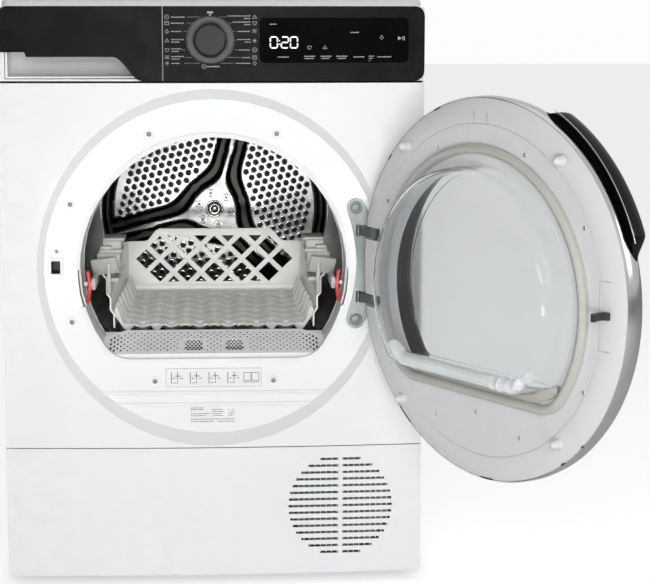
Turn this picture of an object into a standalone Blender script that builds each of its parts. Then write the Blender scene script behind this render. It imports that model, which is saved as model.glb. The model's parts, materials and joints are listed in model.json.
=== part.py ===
"""Heat-pump clothes dryer: cabinet, drum, drawer, knob, filter, rack and open door, each piece its own solid.

Metres, +Z up. The origin is the centre of the base's flat underside, -Y is the front, +X is the hinge side.
"""

import math

import bmesh
import bpy
from mathutils import Matrix, Vector

# ---- driving dimensions -------------------------------------------------------------------------
GAP = 0.0003                # between pieces that touch
RUN = 0.001                 # around pieces that turn or slide
SHEET = 0.0015              # pressed panels
CAB_W = 0.596
CAB_TOP = 0.826             # top of the worktop above the base's underside
FRONT_Y = -0.285            # front skin at the cabinet's side edges
REAR_Y = 0.272
BOW = 0.010                 # how far the front swells at its centre line
SEAM = 0.0028               # shadow gap between front panels

KICK_TOP = 0.1893
FASCIA_DROP = 0.0093        # its top below the worktop's top
FASCIA_H = 0.1039
WORKTOP_T = 0.029
WORKTOP_SETBACK = 0.040
FOOT_H = 0.015
FOOT_R = 0.020
FOOT_X, FOOT_INSET = 0.245, 0.072
FOOT_TRAVEL = 0.010

RING_R = 0.255              # round recess in the front, at the skin
RING_FLOOR_R = 0.240
RING_Z = 0.447
RING_FLOOR_Y = FRONT_Y + 0.008

MOUTH_R = 0.1896            # loading opening: a circle with a flat bottom
MOUTH_Z = 0.444
MOUTH_FLAT = 0.316
MOUTH_FILLET = 0.045
MOUTH_WALL = 0.003
MOUTH_DEPTH = 0.062
LIP_W, LIP_PROUD = 0.0065, 0.003

FILTER_INSET = 0.0316       # filter's ends inside the opening's radius
FILTER_Y0, FILTER_Y1 = FRONT_Y + 0.013, FRONT_Y + 0.060
FILTER_FRONT_Z, FILTER_BACK_Z = 0.3200, 0.3455
FILTER_BOTTOM = 0.170
FINGER_X, FINGER_W = 0.0295, 0.028

DRUM_R = 0.2875
DRUM_Z = 0.485
DRUM_FRONT_Y = FRONT_Y + 0.078
DRUM_LEN = 0.362
DRUM_T = 0.0016
DISH_INSET = 0.1015         # rear wall's dish inside the drum's radius
AIR_WALL_GAP = 0.012        # from the drum's back to the sheet behind it
ARM_TURN = (74.5, 194.5, 314.5)     # the spider's arms, degrees from +X
SHAFT_R = 0.0125
ROLLER_R = 0.030
ROLLER_TURN = 38            # degrees each side of the drum's lowest line
MOTOR_X, MOTOR_Z, PULLEY_R = -0.200, 0.130, 0.012
BELT_Y, BELT_W, BELT_T = 0.060, 0.010, 0.0015
FAN_R = 0.075

DOOR_ANGLE = math.radians(123.4)
HINGE_INSET, HINGE_PROUD = 0.020, 0.0169    # pin inside the door's edge, and in front of the skin there
DOOR_R = 0.248
DOOR_Z = RING_Z + 0.003
DOOR_PROUD = 0.0119                 # outer edge of the inner plate in front of the skin, door closed
DOOR_RAISE = 0.008                  # the plate's middle stands this much nearer the cabinet
DOOR_T = 0.030                      # rim depth
BOWL_INSET = 0.022
BOWL_DEPTH = 0.055
HINGE_Z = (0.4045, 0.500)
ARM_H = 0.012
PIN_R, PIN_OVER = 0.0030, 0.009
BUMPERS = ((0.145, 0.178), (-0.145, 0.178), (0.149, -0.171), (-0.149, -0.171))   # x, height from the door's centre

KNOB_X, KNOB_RISE = -0.0027, 0.0572         # rise above the fascia's lower edge
KNOB_R, KNOB_RING_R = 0.0240, 0.0330
KNOB_REACH = 0.020
DISPLAY_X = (0.065, 0.275)
DISPLAY_RISE = (0.0252, 0.0882)
DRAWER_RIGHT = -0.069
TANK_LEFT, TANK_RIGHT = -0.2885, -0.092
TANK_RISE, TANK_SIDE_RISE, TANK_SLOPE_X = 0.0222, 0.0527, -0.150     # its floor rises over the drum
TANK_FRONT_RISE = 0.0037
TANK_CLEAR = 0.002
TANK_BACK_CLEAR = 0.012      # between the tank and the sheet behind the drum
GRIP_R = 0.040

GRILLE_X, GRILLE_Z, GRILLE_R = 0.181, 0.101, 0.075
SLOT_PITCH, SLOT_H, SLOTS = 0.00987, 0.0036, 15
LOUVRE_T, LOUVRE_CLEAR = 0.0050, 0.0014

RACK_INSET = 0.0516                 # the rack's sides inside the opening's radius
RACK_Y0, RACK_Y1 = FRONT_Y + 0.090, FRONT_Y + 0.262
RACK_Z0, RACK_Z1 = 0.3515, 0.3720
RACK_TOP, RACK_SHOULDER = 0.470, 0.4507
RACK_WALL = 0.003
LATTICE_PITCH, LATTICE_ROW, LATTICE_WEB = 0.0423, 0.0211, 0.0046
LATTICE_MARGIN = 0.0100             # between the lattice and the rack's sides
FIELD_INSET, SHOULDER_INSET = 0.0470, 0.0290        # the raised field's top and foot inside the rack's sides
PEG_Y, PEG_Z, PEG_R = FRONT_Y + 0.036, 0.4225, 0.0030

# ---- derived places -----------------------------------------------------------------------------
HALF_W = CAB_W / 2
DOOR_SKIN_Y = FRONT_Y - BOW * (1 - (DOOR_R / HALF_W) ** 2)
HINGE = Vector((DOOR_R - HINGE_INSET, DOOR_SKIN_Y - HINGE_PROUD))
DOOR_PLATE_Y = DOOR_SKIN_Y - DOOR_PROUD
FASCIA_TOP = CAB_TOP - FASCIA_DROP
FASCIA_Z0 = FASCIA_TOP - FASCIA_H
PANEL_TOP = FASCIA_Z0 - SEAM
KNOB_Z = FASCIA_Z0 + KNOB_RISE
DISPLAY = (*DISPLAY_X, *(FASCIA_Z0 + rise for rise in DISPLAY_RISE))
TANK_TOP = CAB_TOP - WORKTOP_T - TANK_CLEAR
TANK_LOW, TANK_SIDE_Z, TANK_FRONT_Z = FASCIA_Z0 + TANK_RISE, FASCIA_Z0 + TANK_SIDE_RISE, FASCIA_Z0 + TANK_FRONT_RISE
FILTER_X = MOUTH_R - FILTER_INSET
RACK_X = MOUTH_R - RACK_INSET
DISH_R = DRUM_R - DISH_INSET
KICK_Z0 = 0.0012
DRUM_REAR_Y = DRUM_FRONT_Y + DRUM_LEN
AIR_WALL_Y = DRUM_REAR_Y + AIR_WALL_GAP
RING_BACK_Y = RING_FLOOR_Y + SHEET
MOUTH_FRONT_Y = RING_FLOOR_Y - LIP_PROUD
MOUTH_BACK_Y = MOUTH_FRONT_Y + MOUTH_DEPTH
BULKHEAD_Y = MOUTH_BACK_Y + GAP
BULKHEAD_T = 0.004
PANEL_Z0 = KICK_TOP + SEAM / 4
FASCIA_T = 0.004
FRAME_BACK_Y = FRONT_Y + 0.050
INSIDE_X = HALF_W - SHEET - GAP
TRAY_TOP = 0.055

PARTS = None
CUTTERS = None
MATERIALS = {}

COLOURS = {
    "white_paint": ((0.86, 0.87, 0.88), 0.35, 0.0),
    "white_plastic": ((0.84, 0.85, 0.86), 0.45, 0.0),
    "grey_plastic": ((0.62, 0.63, 0.64), 0.5, 0.0),
    "dark_plastic": ((0.06, 0.06, 0.065), 0.5, 0.0),
    "gloss_black": ((0.012, 0.012, 0.014), 0.08, 0.0),
    "smoked_glass": ((0.10, 0.10, 0.11), 0.05, 0.0),
    "clear_plastic": ((0.80, 0.82, 0.82), 0.08, 0.0),
    "stainless": ((0.60, 0.60, 0.60), 0.28, 1.0),
    "zinc": ((0.55, 0.56, 0.57), 0.35, 1.0),
    "chrome": ((0.72, 0.73, 0.74), 0.08, 1.0),
    "rubber": ((0.74, 0.72, 0.66), 0.6, 0.0),
    "black_rubber": ((0.03, 0.03, 0.03), 0.75, 0.0),
    "red_plastic": ((0.75, 0.05, 0.04), 0.35, 0.0),
    "aluminium": ((0.70, 0.71, 0.72), 0.35, 1.0),
    "felt": ((0.35, 0.34, 0.32), 0.95, 0.0),
    "board": ((0.05, 0.20, 0.10), 0.6, 0.0),
}


# ---- scene and object helpers -------------------------------------------------------------------
def clear_scene():
    for item in list(bpy.context.scene.objects):
        bpy.data.objects.remove(item, do_unlink=True)


def collection(name):
    made = bpy.data.collections.new(name)
    bpy.context.scene.collection.children.link(made)
    return made


def material(name):
    if name not in MATERIALS:
        colour, roughness, metallic = COLOURS[name]
        made = bpy.data.materials.new(name)
        made.use_nodes = True
        shader = made.node_tree.nodes["Principled BSDF"]
        shader.inputs["Base Color"].default_value = (*colour, 1)
        shader.inputs["Roughness"].default_value = roughness
        shader.inputs["Metallic"].default_value = metallic
        MATERIALS[name] = made
    return MATERIALS[name]


def add_object(name, mesh, finish):
    """A part when it has a finish, otherwise a cutter or a joined shape."""
    made = bpy.data.objects.new(name, mesh)
    if finish:
        PARTS.objects.link(made)
        mesh.materials.clear()
        mesh.materials.append(material(finish))
    else:
        CUTTERS.objects.link(made)
        made.hide_render = True
        made.display_type = "WIRE"
    return made


def mesh_from(name, maker, matrix=None):
    mesh = bpy.data.meshes.new(name)
    shape = bmesh.new()
    maker(shape)
    if matrix is not None:
        bmesh.ops.transform(shape, matrix=matrix, verts=shape.verts)
    bmesh.ops.recalc_face_normals(shape, faces=shape.faces)
    shape.to_mesh(mesh)
    shape.free()
    return mesh


def soften(made, width, segments=2, angle=40):
    bevel = made.modifiers.new("edges", "BEVEL")
    bevel.width = width
    bevel.segments = segments
    bevel.limit_method = "ANGLE"
    bevel.angle_limit = math.radians(angle)
    return made


def shade(made, degrees=35):
    made.data.shade_smooth()
    made.data.set_sharp_from_angle(angle=math.radians(degrees))
    return made


def boolean(made, other, operation="DIFFERENCE"):
    step = made.modifiers.new(other.name, "BOOLEAN")
    step.operation = operation
    step.solver = "EXACT"
    step.object = other
    return made


def cut(made, *cutters):
    for cutter in cutters:
        boolean(made, cutter)
    return made


def join(made, *others):
    for other in others:
        boolean(made, other, "UNION")
    return made


def box(name, low, high, finish=None):
    low, high = Vector(low), Vector(high)
    matrix = Matrix.Translation((low + high) / 2) @ Matrix.Diagonal((*(high - low), 1))
    return add_object(name, mesh_from(name, lambda shape: bmesh.ops.create_cube(shape, size=1, matrix=matrix)), finish)


def boxes(name, corners):
    """Several separate cutting boxes in one mesh."""
    def maker(shape):
        for low, high in corners:
            low, high = Vector(low), Vector(high)
            matrix = Matrix.Translation((low + high) / 2) @ Matrix.Diagonal((*(high - low), 1))
            bmesh.ops.create_cube(shape, size=1, matrix=matrix)
    return add_object(name, mesh_from(name, maker), None)


AXES = {"X": Matrix.Rotation(math.pi / 2, 4, "Y"), "Y": Matrix.Rotation(-math.pi / 2, 4, "X"), "Z": Matrix.Identity(4)}


def rod(name, start, length, radius, axis, finish=None, segments=24, radius2=None):
    """A cylinder or cone from start along +axis."""
    matrix = Matrix.Translation(start) @ AXES[axis] @ Matrix.Translation((0, 0, length / 2))
    def maker(shape):
        bmesh.ops.create_cone(shape, cap_ends=True, segments=segments, radius1=radius,
                              radius2=radius if radius2 is None else radius2, depth=length, matrix=matrix)
    return add_object(name, mesh_from(name, maker), finish)


def outline_solid(name, loops, start, end, axis, finish=None):
    """A flat outline (first loop) with holes (other loops), extruded along an axis from start to end.

    Loops are given in XZ for axis Y, in XY for axis Z and in YZ for axis X."""
    curve = bpy.data.curves.new(name, "CURVE")
    curve.dimensions = "2D"
    curve.fill_mode = "BOTH"
    curve.extrude = abs(end - start) / 2
    for loop in loops:
        spline = curve.splines.new("POLY")
        spline.points.add(len(loop) - 1)
        for point, (u, v) in zip(spline.points, loop):
            point.co = (u, v, 0, 1)
        spline.use_cyclic_u = True
    turn = {"Y": Matrix.Rotation(math.pi / 2, 4, "X"), "Z": Matrix.Identity(4),
            "X": Matrix(((0, 0, 1, 0), (1, 0, 0, 0), (0, 1, 0, 0), (0, 0, 0, 1)))}[axis]
    middle = Vector({"X": (1, 0, 0), "Y": (0, 1, 0), "Z": (0, 0, 1)}[axis]) * ((start + end) / 2)
    drawn = bpy.data.objects.new(name + "_curve", curve)
    bpy.context.scene.collection.objects.link(drawn)
    graph = bpy.context.evaluated_depsgraph_get()
    mesh = bpy.data.meshes.new_from_object(drawn.evaluated_get(graph))
    shape = bmesh.new()
    shape.from_mesh(mesh)
    bmesh.ops.remove_doubles(shape, verts=shape.verts, dist=1e-6)
    bmesh.ops.transform(shape, matrix=Matrix.Translation(middle) @ turn, verts=shape.verts)
    bmesh.ops.dissolve_limit(shape, angle_limit=0.001, verts=shape.verts, edges=shape.edges)
    bmesh.ops.recalc_face_normals(shape, faces=shape.faces)
    shape.to_mesh(mesh)
    shape.free()
    bpy.data.objects.remove(drawn, do_unlink=True)
    mesh.name = name
    return add_object(name, mesh, finish)


def turned(name, profile, centre, axis, finish=None, steps=64):
    """A closed profile of (radius, height) points, listed down its outer side, turned about an axis."""
    mesh = bpy.data.meshes.new(name)
    shape = bmesh.new()
    points = [shape.verts.new((r, 0, h)) for r, h in profile]
    on_axis = abs(profile[0][0]) < 1e-9 and abs(profile[-1][0]) < 1e-9
    for a, b in zip(points, points[1:] + ([] if on_axis else points[:1])):
        shape.edges.new((a, b))
    bmesh.ops.spin(shape, geom=shape.verts[:] + shape.edges[:], cent=(0, 0, 0), axis=(0, 0, 1),
                   angle=math.tau, steps=steps, use_merge=True)
    bmesh.ops.remove_doubles(shape, verts=shape.verts, dist=1e-6)
    bmesh.ops.transform(shape, matrix=Matrix.Translation(centre) @ AXES[axis], verts=shape.verts)
    bmesh.ops.recalc_face_normals(shape, faces=shape.faces)
    shape.to_mesh(mesh)
    shape.free()
    return add_object(name, mesh, finish)


# ---- outlines -----------------------------------------------------------------------------------
def arc(cx, cz, radius, start, end, count):
    step = (end - start) / count
    return [(cx + radius * math.cos(start + i * step), cz + radius * math.sin(start + i * step))
            for i in range(count + 1)]


def circle(cx, cz, radius, count=64):
    return arc(cx, cz, radius, 0, math.tau, count)[:-1]


def rounded_box(x0, x1, z0, z1, radius, count=5):
    quarter = math.pi / 2
    corners = ((x1 - radius, z0 + radius, 3), (x1 - radius, z1 - radius, 0),
               (x0 + radius, z1 - radius, 1), (x0 + radius, z0 + radius, 2))
    return [p for cx, cz, k in corners for p in arc(cx, cz, radius, k * quarter, (k + 1) * quarter, count)]


def square(x0, x1, z0, z1):
    return [(x0, z0), (x1, z0), (x1, z1), (x0, z1)]


def mouth(offset, count=30, fillet_count=4):
    """The loading opening's outline, grown by an offset: a circle, a flat bottom and two fillets."""
    radius, flat, fillet = MOUTH_R + offset, MOUTH_FLAT - offset, MOUTH_FILLET + offset
    rise = flat + fillet - MOUTH_Z
    reach = math.sqrt((radius - fillet) ** 2 - rise ** 2)
    turn = math.atan2(rise, reach)
    right = arc(reach, flat + fillet, fillet, -math.pi / 2, turn, fillet_count)
    top = arc(0, MOUTH_Z, radius, turn, math.pi - turn, count)
    left = arc(-reach, flat + fillet, fillet, math.pi - turn, 3 * math.pi / 2, fillet_count)
    return right + top[1:-1] + left


def skin_y(x, offset=0.0):
    """Front skin at x, moved back by offset."""
    return FRONT_Y + offset - BOW * (1 - (x / HALF_W) ** 2)


def bowed(name, x0, x1, z0, z1, offset, back, finish=None, count=20, back_offset=None):
    """A slab whose front follows the swelling skin; its back is flat, or follows the skin too."""
    xs = [x0 + (x1 - x0) * i / count for i in range(count + 1)]
    front = [(x, skin_y(x, offset)) for x in xs]
    rear = [(x, skin_y(x, back_offset)) for x in reversed(xs)] if back_offset is not None else [(x1, back), (x0, back)]
    return outline_solid(name, [front + rear], z0, z1, "Z", finish)


# ---- cabinet ------------------------------------------------------------------------------------
def build_base():
    tray = box("base_tray", (-INSIDE_X + GAP, FRONT_Y + 0.0065, 0), (INSIDE_X - GAP, REAR_Y - SHEET - GAP, TRAY_TOP),
               "dark_plastic")
    wall = 0.004
    hollow = box("base_hollow", (-INSIDE_X + wall, FRONT_Y + 0.0065 + wall, wall),
                 (INSIDE_X - wall, REAR_Y - SHEET - wall, TRAY_TOP + 0.02))
    cut(tray, hollow)
    for fx, fy, side in ((-1, FRONT_Y + FOOT_INSET, "front_left"), (1, FRONT_Y + FOOT_INSET, "front_right"),
                         (-1, REAR_Y - FOOT_INSET, "rear_left"), (1, REAR_Y - FOOT_INSET, "rear_right")):
        x = fx * FOOT_X
        hole = rod("foot_hole_" + side, (x, fy, -0.01), 0.04, 0.006 + RUN, "Z", segments=16)
        cut(tray, hole)
        profile = [(0, 0.004 + FOOT_TRAVEL), (0.006, 0.004 + FOOT_TRAVEL), (0.006, -0.006), (FOOT_R - 0.004, -0.007),
                   (FOOT_R, -0.010), (FOOT_R, -FOOT_H), (0, -FOOT_H)]
        shade(turned("foot_" + side, profile, (x, fy, 0), "Z", "black_rubber", steps=16))


def build_sides():
    z0, z1 = 0.004, CAB_TOP - WORKTOP_T - GAP
    flange = 0.014
    for side, name in ((-1, "cabinet_left_side"), (1, "cabinet_right_side")):
        outer, inner = side * HALF_W, side * (HALF_W - SHEET)
        tip = side * (HALF_W - flange)
        y0, y1 = FRONT_Y + 0.012, REAR_Y
        loop = [(outer, y0), (outer, y1), (tip, y1), (tip, y1 - SHEET), (inner, y1 - SHEET), (inner, y0)]
        sheet = outline_solid(name, [loop], z0, z1, "Z", "white_paint")
        notch = box(name + "_notch", (-HALF_W - 0.01, y0 - 0.01, FASCIA_Z0 - GAP), (HALF_W + 0.01, FRAME_BACK_Y + GAP, z1 + 0.01))
        cut(sheet, notch)


def build_rear():
    """Rear sheet between the side flanges, with a round pressed bulge over the rear air channel."""
    y = REAR_Y - SHEET - GAP
    x = HALF_W - SHEET - GAP
    z0, z1 = TRAY_TOP + GAP, CAB_TOP - WORKTOP_T - GAP
    panel = outline_solid("rear_panel", [rounded_box(-x, x, z0, z1, 0.003, 2)], y - SHEET, y, "Y", "white_paint")
    bulge, rise = 0.235, 0.016
    lap = SHEET / 3
    pressed = turned("rear_bulge", [(0, rise), (bulge - 0.02, rise), (bulge, -lap), (bulge, -2 * lap), (0, -2 * lap)],
                     (0, y, DRUM_Z - 0.03), "Y", steps=28)
    hollow = turned("rear_bulge_hollow", [(0, rise - SHEET), (bulge - 0.021, rise - SHEET), (bulge - 0.003, -SHEET),
                                          (bulge - 0.003, -0.02), (0, -0.02)], (0, y, DRUM_Z - 0.03), "Y", steps=28)
    join(panel, pressed)
    slots = boxes("rear_vents", [((x0, y - 0.02, 0.10 + i * 0.012), (x0 + 0.10, y + 0.03, 0.105 + i * 0.012))
                                 for x0 in (-0.25, 0.15) for i in range(7)])
    cut(panel, hollow, slots)
    inlet_z = CAB_TOP - 0.111
    inlet = box("power_inlet", (-0.262, y + GAP, inlet_z), (-0.212, y + 0.018, inlet_z + 0.050), "dark_plastic")
    cut(inlet, box("inlet_socket", (-0.254, y + 0.006, inlet_z + 0.007), (-0.220, y + 0.03, inlet_z + 0.037)))
    soften(inlet, 0.002)


def build_worktop():
    x = HALF_W
    top = outline_solid("worktop", [rounded_box(-x, x, FRONT_Y + WORKTOP_SETBACK, REAR_Y + 0.006, 0.012)],
                        CAB_TOP - WORKTOP_T, CAB_TOP, "Z", "white_paint")
    soften(top, 0.003)


def build_front_panel():
    x, back = HALF_W, RING_BACK_Y
    panel = bowed("front_panel", -x, x, PANEL_Z0, PANEL_TOP, 0, back, "white_paint", 12)
    deep = FRONT_Y - BOW
    flare = 0.004
    depth = RING_FLOOR_Y - deep
    slope = (RING_R - RING_FLOOR_R) / depth
    recess = rod("ring_recess", (0, deep - flare, RING_Z), depth + flare, RING_R + slope * flare, "Y",
                 segments=56, radius2=RING_FLOOR_R)
    grown = rod("ring_shell", (0, deep - flare, RING_Z), depth + flare + 0.02, RING_R + slope * flare + SHEET, "Y",
                segments=56, radius2=RING_FLOOR_R - slope * 0.02 + SHEET)
    hollow = bowed("panel_hollow", -x + SHEET, x - SHEET, PANEL_Z0 + SHEET, PANEL_TOP - SHEET, SHEET, back + 0.01,
                   None, 12)
    cut(hollow, grown)
    opening = outline_solid("mouth_hole", [mouth(MOUTH_WALL + GAP)], FRONT_Y - 0.05, FRONT_Y + 0.05, "Y")
    latch_hole = box("latch_hole", (-0.2300, RING_FLOOR_Y - 0.01, 0.4395), (-0.2170, RING_BACK_Y + 0.01, 0.4590))
    cut(panel, recess, hollow, opening, latch_hole)


def build_bezel():
    """The throat between the front panel and the drum, with a thin lip around the opening."""
    bezel = outline_solid("opening_bezel", [mouth(MOUTH_WALL), mouth(0)], MOUTH_FRONT_Y, MOUTH_BACK_Y, "Y",
                          "white_plastic")
    lip = outline_solid("mouth_lip", [mouth(LIP_W), mouth(0.0008)], MOUTH_FRONT_Y, RING_FLOOR_Y - GAP, "Y")
    join(bezel, lip)
    notch_x = MOUTH_R - 0.012
    clips = boxes("clip_notches", [((-MOUTH_R - 0.03, FRONT_Y, 0.392), (-notch_x, MOUTH_FRONT_Y + 0.016, 0.446)),
                                   ((notch_x, FRONT_Y, 0.392), (MOUTH_R + 0.03, MOUTH_FRONT_Y + 0.016, 0.446))])
    slot = box("filter_slot", (-FILTER_X - RUN, FILTER_Y0 - RUN, 0.25), (FILTER_X + RUN, FILTER_Y1 + RUN, 0.352))
    cut(bezel, slot)
    return clips


def build_bulkhead():
    x = INSIDE_X - 0.0112
    outline_solid("front_bulkhead", [rounded_box(-x, x, TRAY_TOP + 0.01, FASCIA_Z0 + 0.0122, 0.02),
                                     mouth(-0.001)], BULKHEAD_Y, BULKHEAD_Y + BULKHEAD_T, "Y", "grey_plastic")
    seal_r = DRUM_R - 0.016
    turned("front_felt_seal", [(seal_r, 0.0058), (seal_r, 0), (seal_r - 0.012, 0), (seal_r - 0.012, 0.0058)],
           (0, BULKHEAD_Y + BULKHEAD_T + GAP, DRUM_Z), "Y", "felt", 36)


def build_filter():
    """A lift-out cartridge with a sloping top, standing in its duct below the opening."""
    top = [(FILTER_Y0, FILTER_FRONT_Z), (FILTER_Y0, FILTER_BOTTOM), (FILTER_Y1, FILTER_BOTTOM),
           (FILTER_Y1, FILTER_BACK_Z)]
    cartridge = outline_solid("lint_filter", [top], -FILTER_X, FILTER_X, "X", "white_plastic")
    wall = 0.003
    inner = outline_solid("filter_hollow", [[(FILTER_Y0 + wall, FILTER_FRONT_Z - wall), (FILTER_Y0 + wall, 0.10),
                                             (FILTER_Y1 - wall, 0.10), (FILTER_Y1 - wall, FILTER_BACK_Z - wall)]],
                          -FILTER_X + wall, FILTER_X - wall, "X")
    grips = boxes("finger_holes", [((x - FINGER_W / 2, FILTER_Y0 + 0.008, 0.25),
                                    (x + FINGER_W / 2, FILTER_Y1 - 0.012, 0.40)) for x in (-FINGER_X, FINGER_X)])
    cut(cartridge, inner, grips)
    duct_wall = 0.002
    duct = box("filter_duct", (-FILTER_X - RUN - duct_wall, FILTER_Y0 - RUN - 0.0008, FILTER_BOTTOM - 0.006),
               (FILTER_X + RUN + duct_wall, FILTER_Y1 + RUN + 0.0008, MOUTH_FLAT - MOUTH_WALL - GAP), "grey_plastic")
    bore = box("duct_bore", (-FILTER_X - RUN, FILTER_Y0 - RUN, FILTER_BOTTOM - 0.003),
               (FILTER_X + RUN, FILTER_Y1 + RUN, 0.40))
    outlet = box("duct_outlet", (-0.10, FILTER_Y0, 0.1), (0.10, FILTER_Y1, 0.2))
    cut(duct, bore, outlet)


def build_kick():
    x, back = HALF_W, FRONT_Y + 0.006
    panel = bowed("kick_panel", -x, x, KICK_Z0, KICK_TOP - SEAM / 4, 0, back, "white_plastic", 12)
    hollow = bowed("kick_hollow", -x + SHEET, x - SHEET, KICK_Z0 + SHEET, KICK_TOP - SEAM / 4 - SHEET, SHEET,
                   back + 0.01, None, 12)
    divider = 0.003
    slots = []
    for row in range(SLOTS):
        dz = (row - (SLOTS - 1) / 2) * SLOT_PITCH
        reach = math.sqrt(GRILLE_R ** 2 - dz ** 2)
        z0, z1 = GRILLE_Z + dz - SLOT_H / 2, GRILLE_Z + dz + SLOT_H / 2
        for x0, x1 in ((-reach, -divider), (divider, reach)):
            slots.append(((GRILLE_X + x0, FRONT_Y - 0.02, z0), (GRILLE_X + x1, back + 0.02, z1)))
    cut(panel, hollow, boxes("grille_slots", slots))
    half = GRILLE_R + 0.003
    rib, pitch = 0.0014, 0.008
    count = int(2 * half // pitch)
    louvre_y = skin_y(GRILLE_X + half, SHEET) + LOUVRE_CLEAR
    holes = []
    for i in range(count):
        x0 = GRILLE_X - count * pitch / 2 + i * pitch + rib / 2
        holes.append(square(x0, x0 + pitch - rib, GRILLE_Z - half + 0.004, GRILLE_Z + half - 0.004))
    outline_solid("grille_louvre", [rounded_box(GRILLE_X - half - 0.004, GRILLE_X + half + 0.004, GRILLE_Z - half,
                                                GRILLE_Z + half, 0.004)] + holes,
                  louvre_y, louvre_y + LOUVRE_T, "Y", "white_plastic")


# ---- control panel, drawer ----------------------------------------------------------------------
def build_controls():
    x = HALF_W
    frame = bowed("control_panel_frame", -x, x, FASCIA_Z0, FASCIA_TOP, FASCIA_T + GAP, FRAME_BACK_Y, "white_plastic", 10)
    wall = 0.003
    cavity = box("electronics_cavity", (DRAWER_RIGHT + 0.006, FRONT_Y + 0.002, FASCIA_Z0 + wall),
                 (x - wall, FRAME_BACK_Y + 0.01, FASCIA_TOP - wall))
    aperture = box("drawer_aperture", (TANK_LEFT - RUN, FRONT_Y - 0.03, TANK_FRONT_Z - RUN),
                   (TANK_RIGHT + RUN, FRAME_BACK_Y + 0.01, TANK_TOP + RUN))
    spindle = rod("spindle_hole", (KNOB_X, FRONT_Y - 0.03, KNOB_Z), 0.06, 0.003 + RUN, "Y", segments=20)
    rebate = box("worktop_rebate", (-x - 0.01, FRONT_Y + WORKTOP_SETBACK - GAP, CAB_TOP - WORKTOP_T - GAP),
                 (x + 0.01, FRAME_BACK_Y + 0.01, FASCIA_TOP + 0.01))
    cut(frame, cavity, aperture, spindle, rebate)
    corners = outline_solid("fascia_corners", [rounded_box(-x - 0.05, x, FASCIA_Z0, FASCIA_TOP, 0.014)],
                            FRONT_Y - 0.05, FRONT_Y + 0.05, "Y")
    fascia = bowed("fascia", DRAWER_RIGHT + GAP * 2, x, FASCIA_Z0, FASCIA_TOP, 0, 0, "gloss_black", 8, FASCIA_T)
    boolean(fascia, corners, "INTERSECT")
    dial_hole = rod("dial_hole", (KNOB_X, FRONT_Y - 0.05, KNOB_Z), 0.1, KNOB_RING_R + GAP * 2, "Y", segments=32)
    x0, x1, z0, z1 = DISPLAY
    window = outline_solid("display_hole", [rounded_box(x0, x1, z0, z1, 0.008)], FRONT_Y - 0.05, FRONT_Y + 0.05, "Y")
    cut(fascia, dial_hole, window)
    lens = bowed("display_lens", x0 + GAP, x1 - GAP, z0 + GAP, z1 - GAP, 0.0003, 0, "gloss_black", 6, FASCIA_T)
    shape = outline_solid("display_shape", [rounded_box(x0 + GAP, x1 - GAP, z0 + GAP, z1 - GAP, 0.0077)],
                          FRONT_Y - 0.05, FRONT_Y + 0.05, "Y")
    boolean(lens, shape, "INTERSECT")
    face = skin_y(KNOB_X)
    ring = turned("knob_ring", [(KNOB_R + RUN, 0.0055), (KNOB_RING_R - 0.0015, 0.0055), (KNOB_RING_R, 0.0040),
                                (KNOB_RING_R, 0), (KNOB_R + RUN, 0)], (KNOB_X, face + FASCIA_T, KNOB_Z), "Y",
                  "grey_plastic", 32)
    ring.matrix_world = mirror_y(face + FASCIA_T)
    flip_mesh(ring)
    build_knob(face)
    board = box("control_board", (DRAWER_RIGHT + 0.012, FRONT_Y + 0.020, FASCIA_Z0 + 0.0112),
                (x - 0.012, FRONT_Y + 0.0216, FASCIA_TOP - 0.0107), "board")
    cut(board, rod("board_hole", (KNOB_X, FRONT_Y, KNOB_Z), 0.05, 0.0045, "Y", segments=16))
    selector = box("selector_switch", (KNOB_X - 0.012, FRONT_Y + 0.0219, KNOB_Z - 0.012),
                   (KNOB_X + 0.012, FRONT_Y + 0.036, KNOB_Z + 0.012), "dark_plastic")
    cut(selector, rod("selector_bore", (KNOB_X, FRONT_Y, KNOB_Z), 0.05, 0.0035, "Y", segments=16))


def mirror_y(y):
    return Matrix.Translation((0, y, 0)) @ Matrix.Diagonal((1, -1, 1, 1)) @ Matrix.Translation((0, -y, 0))


def flip_mesh(made):
    """Bake a mirrored placing into the mesh and turn its faces out again."""
    made.data.transform(made.matrix_world)
    made.matrix_world = Matrix.Identity(4)
    made.data.flip_normals()


def build_knob(face):
    reach = face - KNOB_REACH
    stem_end = FRONT_Y + 0.034
    profile = [(0, 0), (KNOB_R - 0.004, 0), (KNOB_R - 0.001, 0.0015), (KNOB_R, 0.006), (KNOB_R, KNOB_REACH + 0.002),
               (0.003, KNOB_REACH + 0.002), (0.003, stem_end - reach), (0, stem_end - reach)]
    knob = turned("programme_knob", list(reversed(profile)), (KNOB_X, reach, KNOB_Z), "Y", "dark_plastic", 32)
    centre_at(knob, (KNOB_X, face, KNOB_Z))


def centre_at(made, place):
    """Move an object's origin to a place and leave its mesh where it is."""
    made.data.transform(Matrix.Translation(-Vector(place)))
    made.location = place


def lip_line():
    """Lower edge of the drawer's black front, from its left end to the step by its right end."""
    high, low, x0, x1 = FASCIA_Z0 + 0.0337, FASCIA_Z0, -0.138, -0.098
    left = [(-HALF_W, high + 0.0065), (-0.2610, high + 0.0065), (-0.2585, high)]
    steps = [i / 8 for i in range(9)]
    bend = [(x0 + (x1 - x0) * t, high + (low - high) * (3 * t * t - 2 * t ** 3)) for t in steps]
    return left + bend


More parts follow.
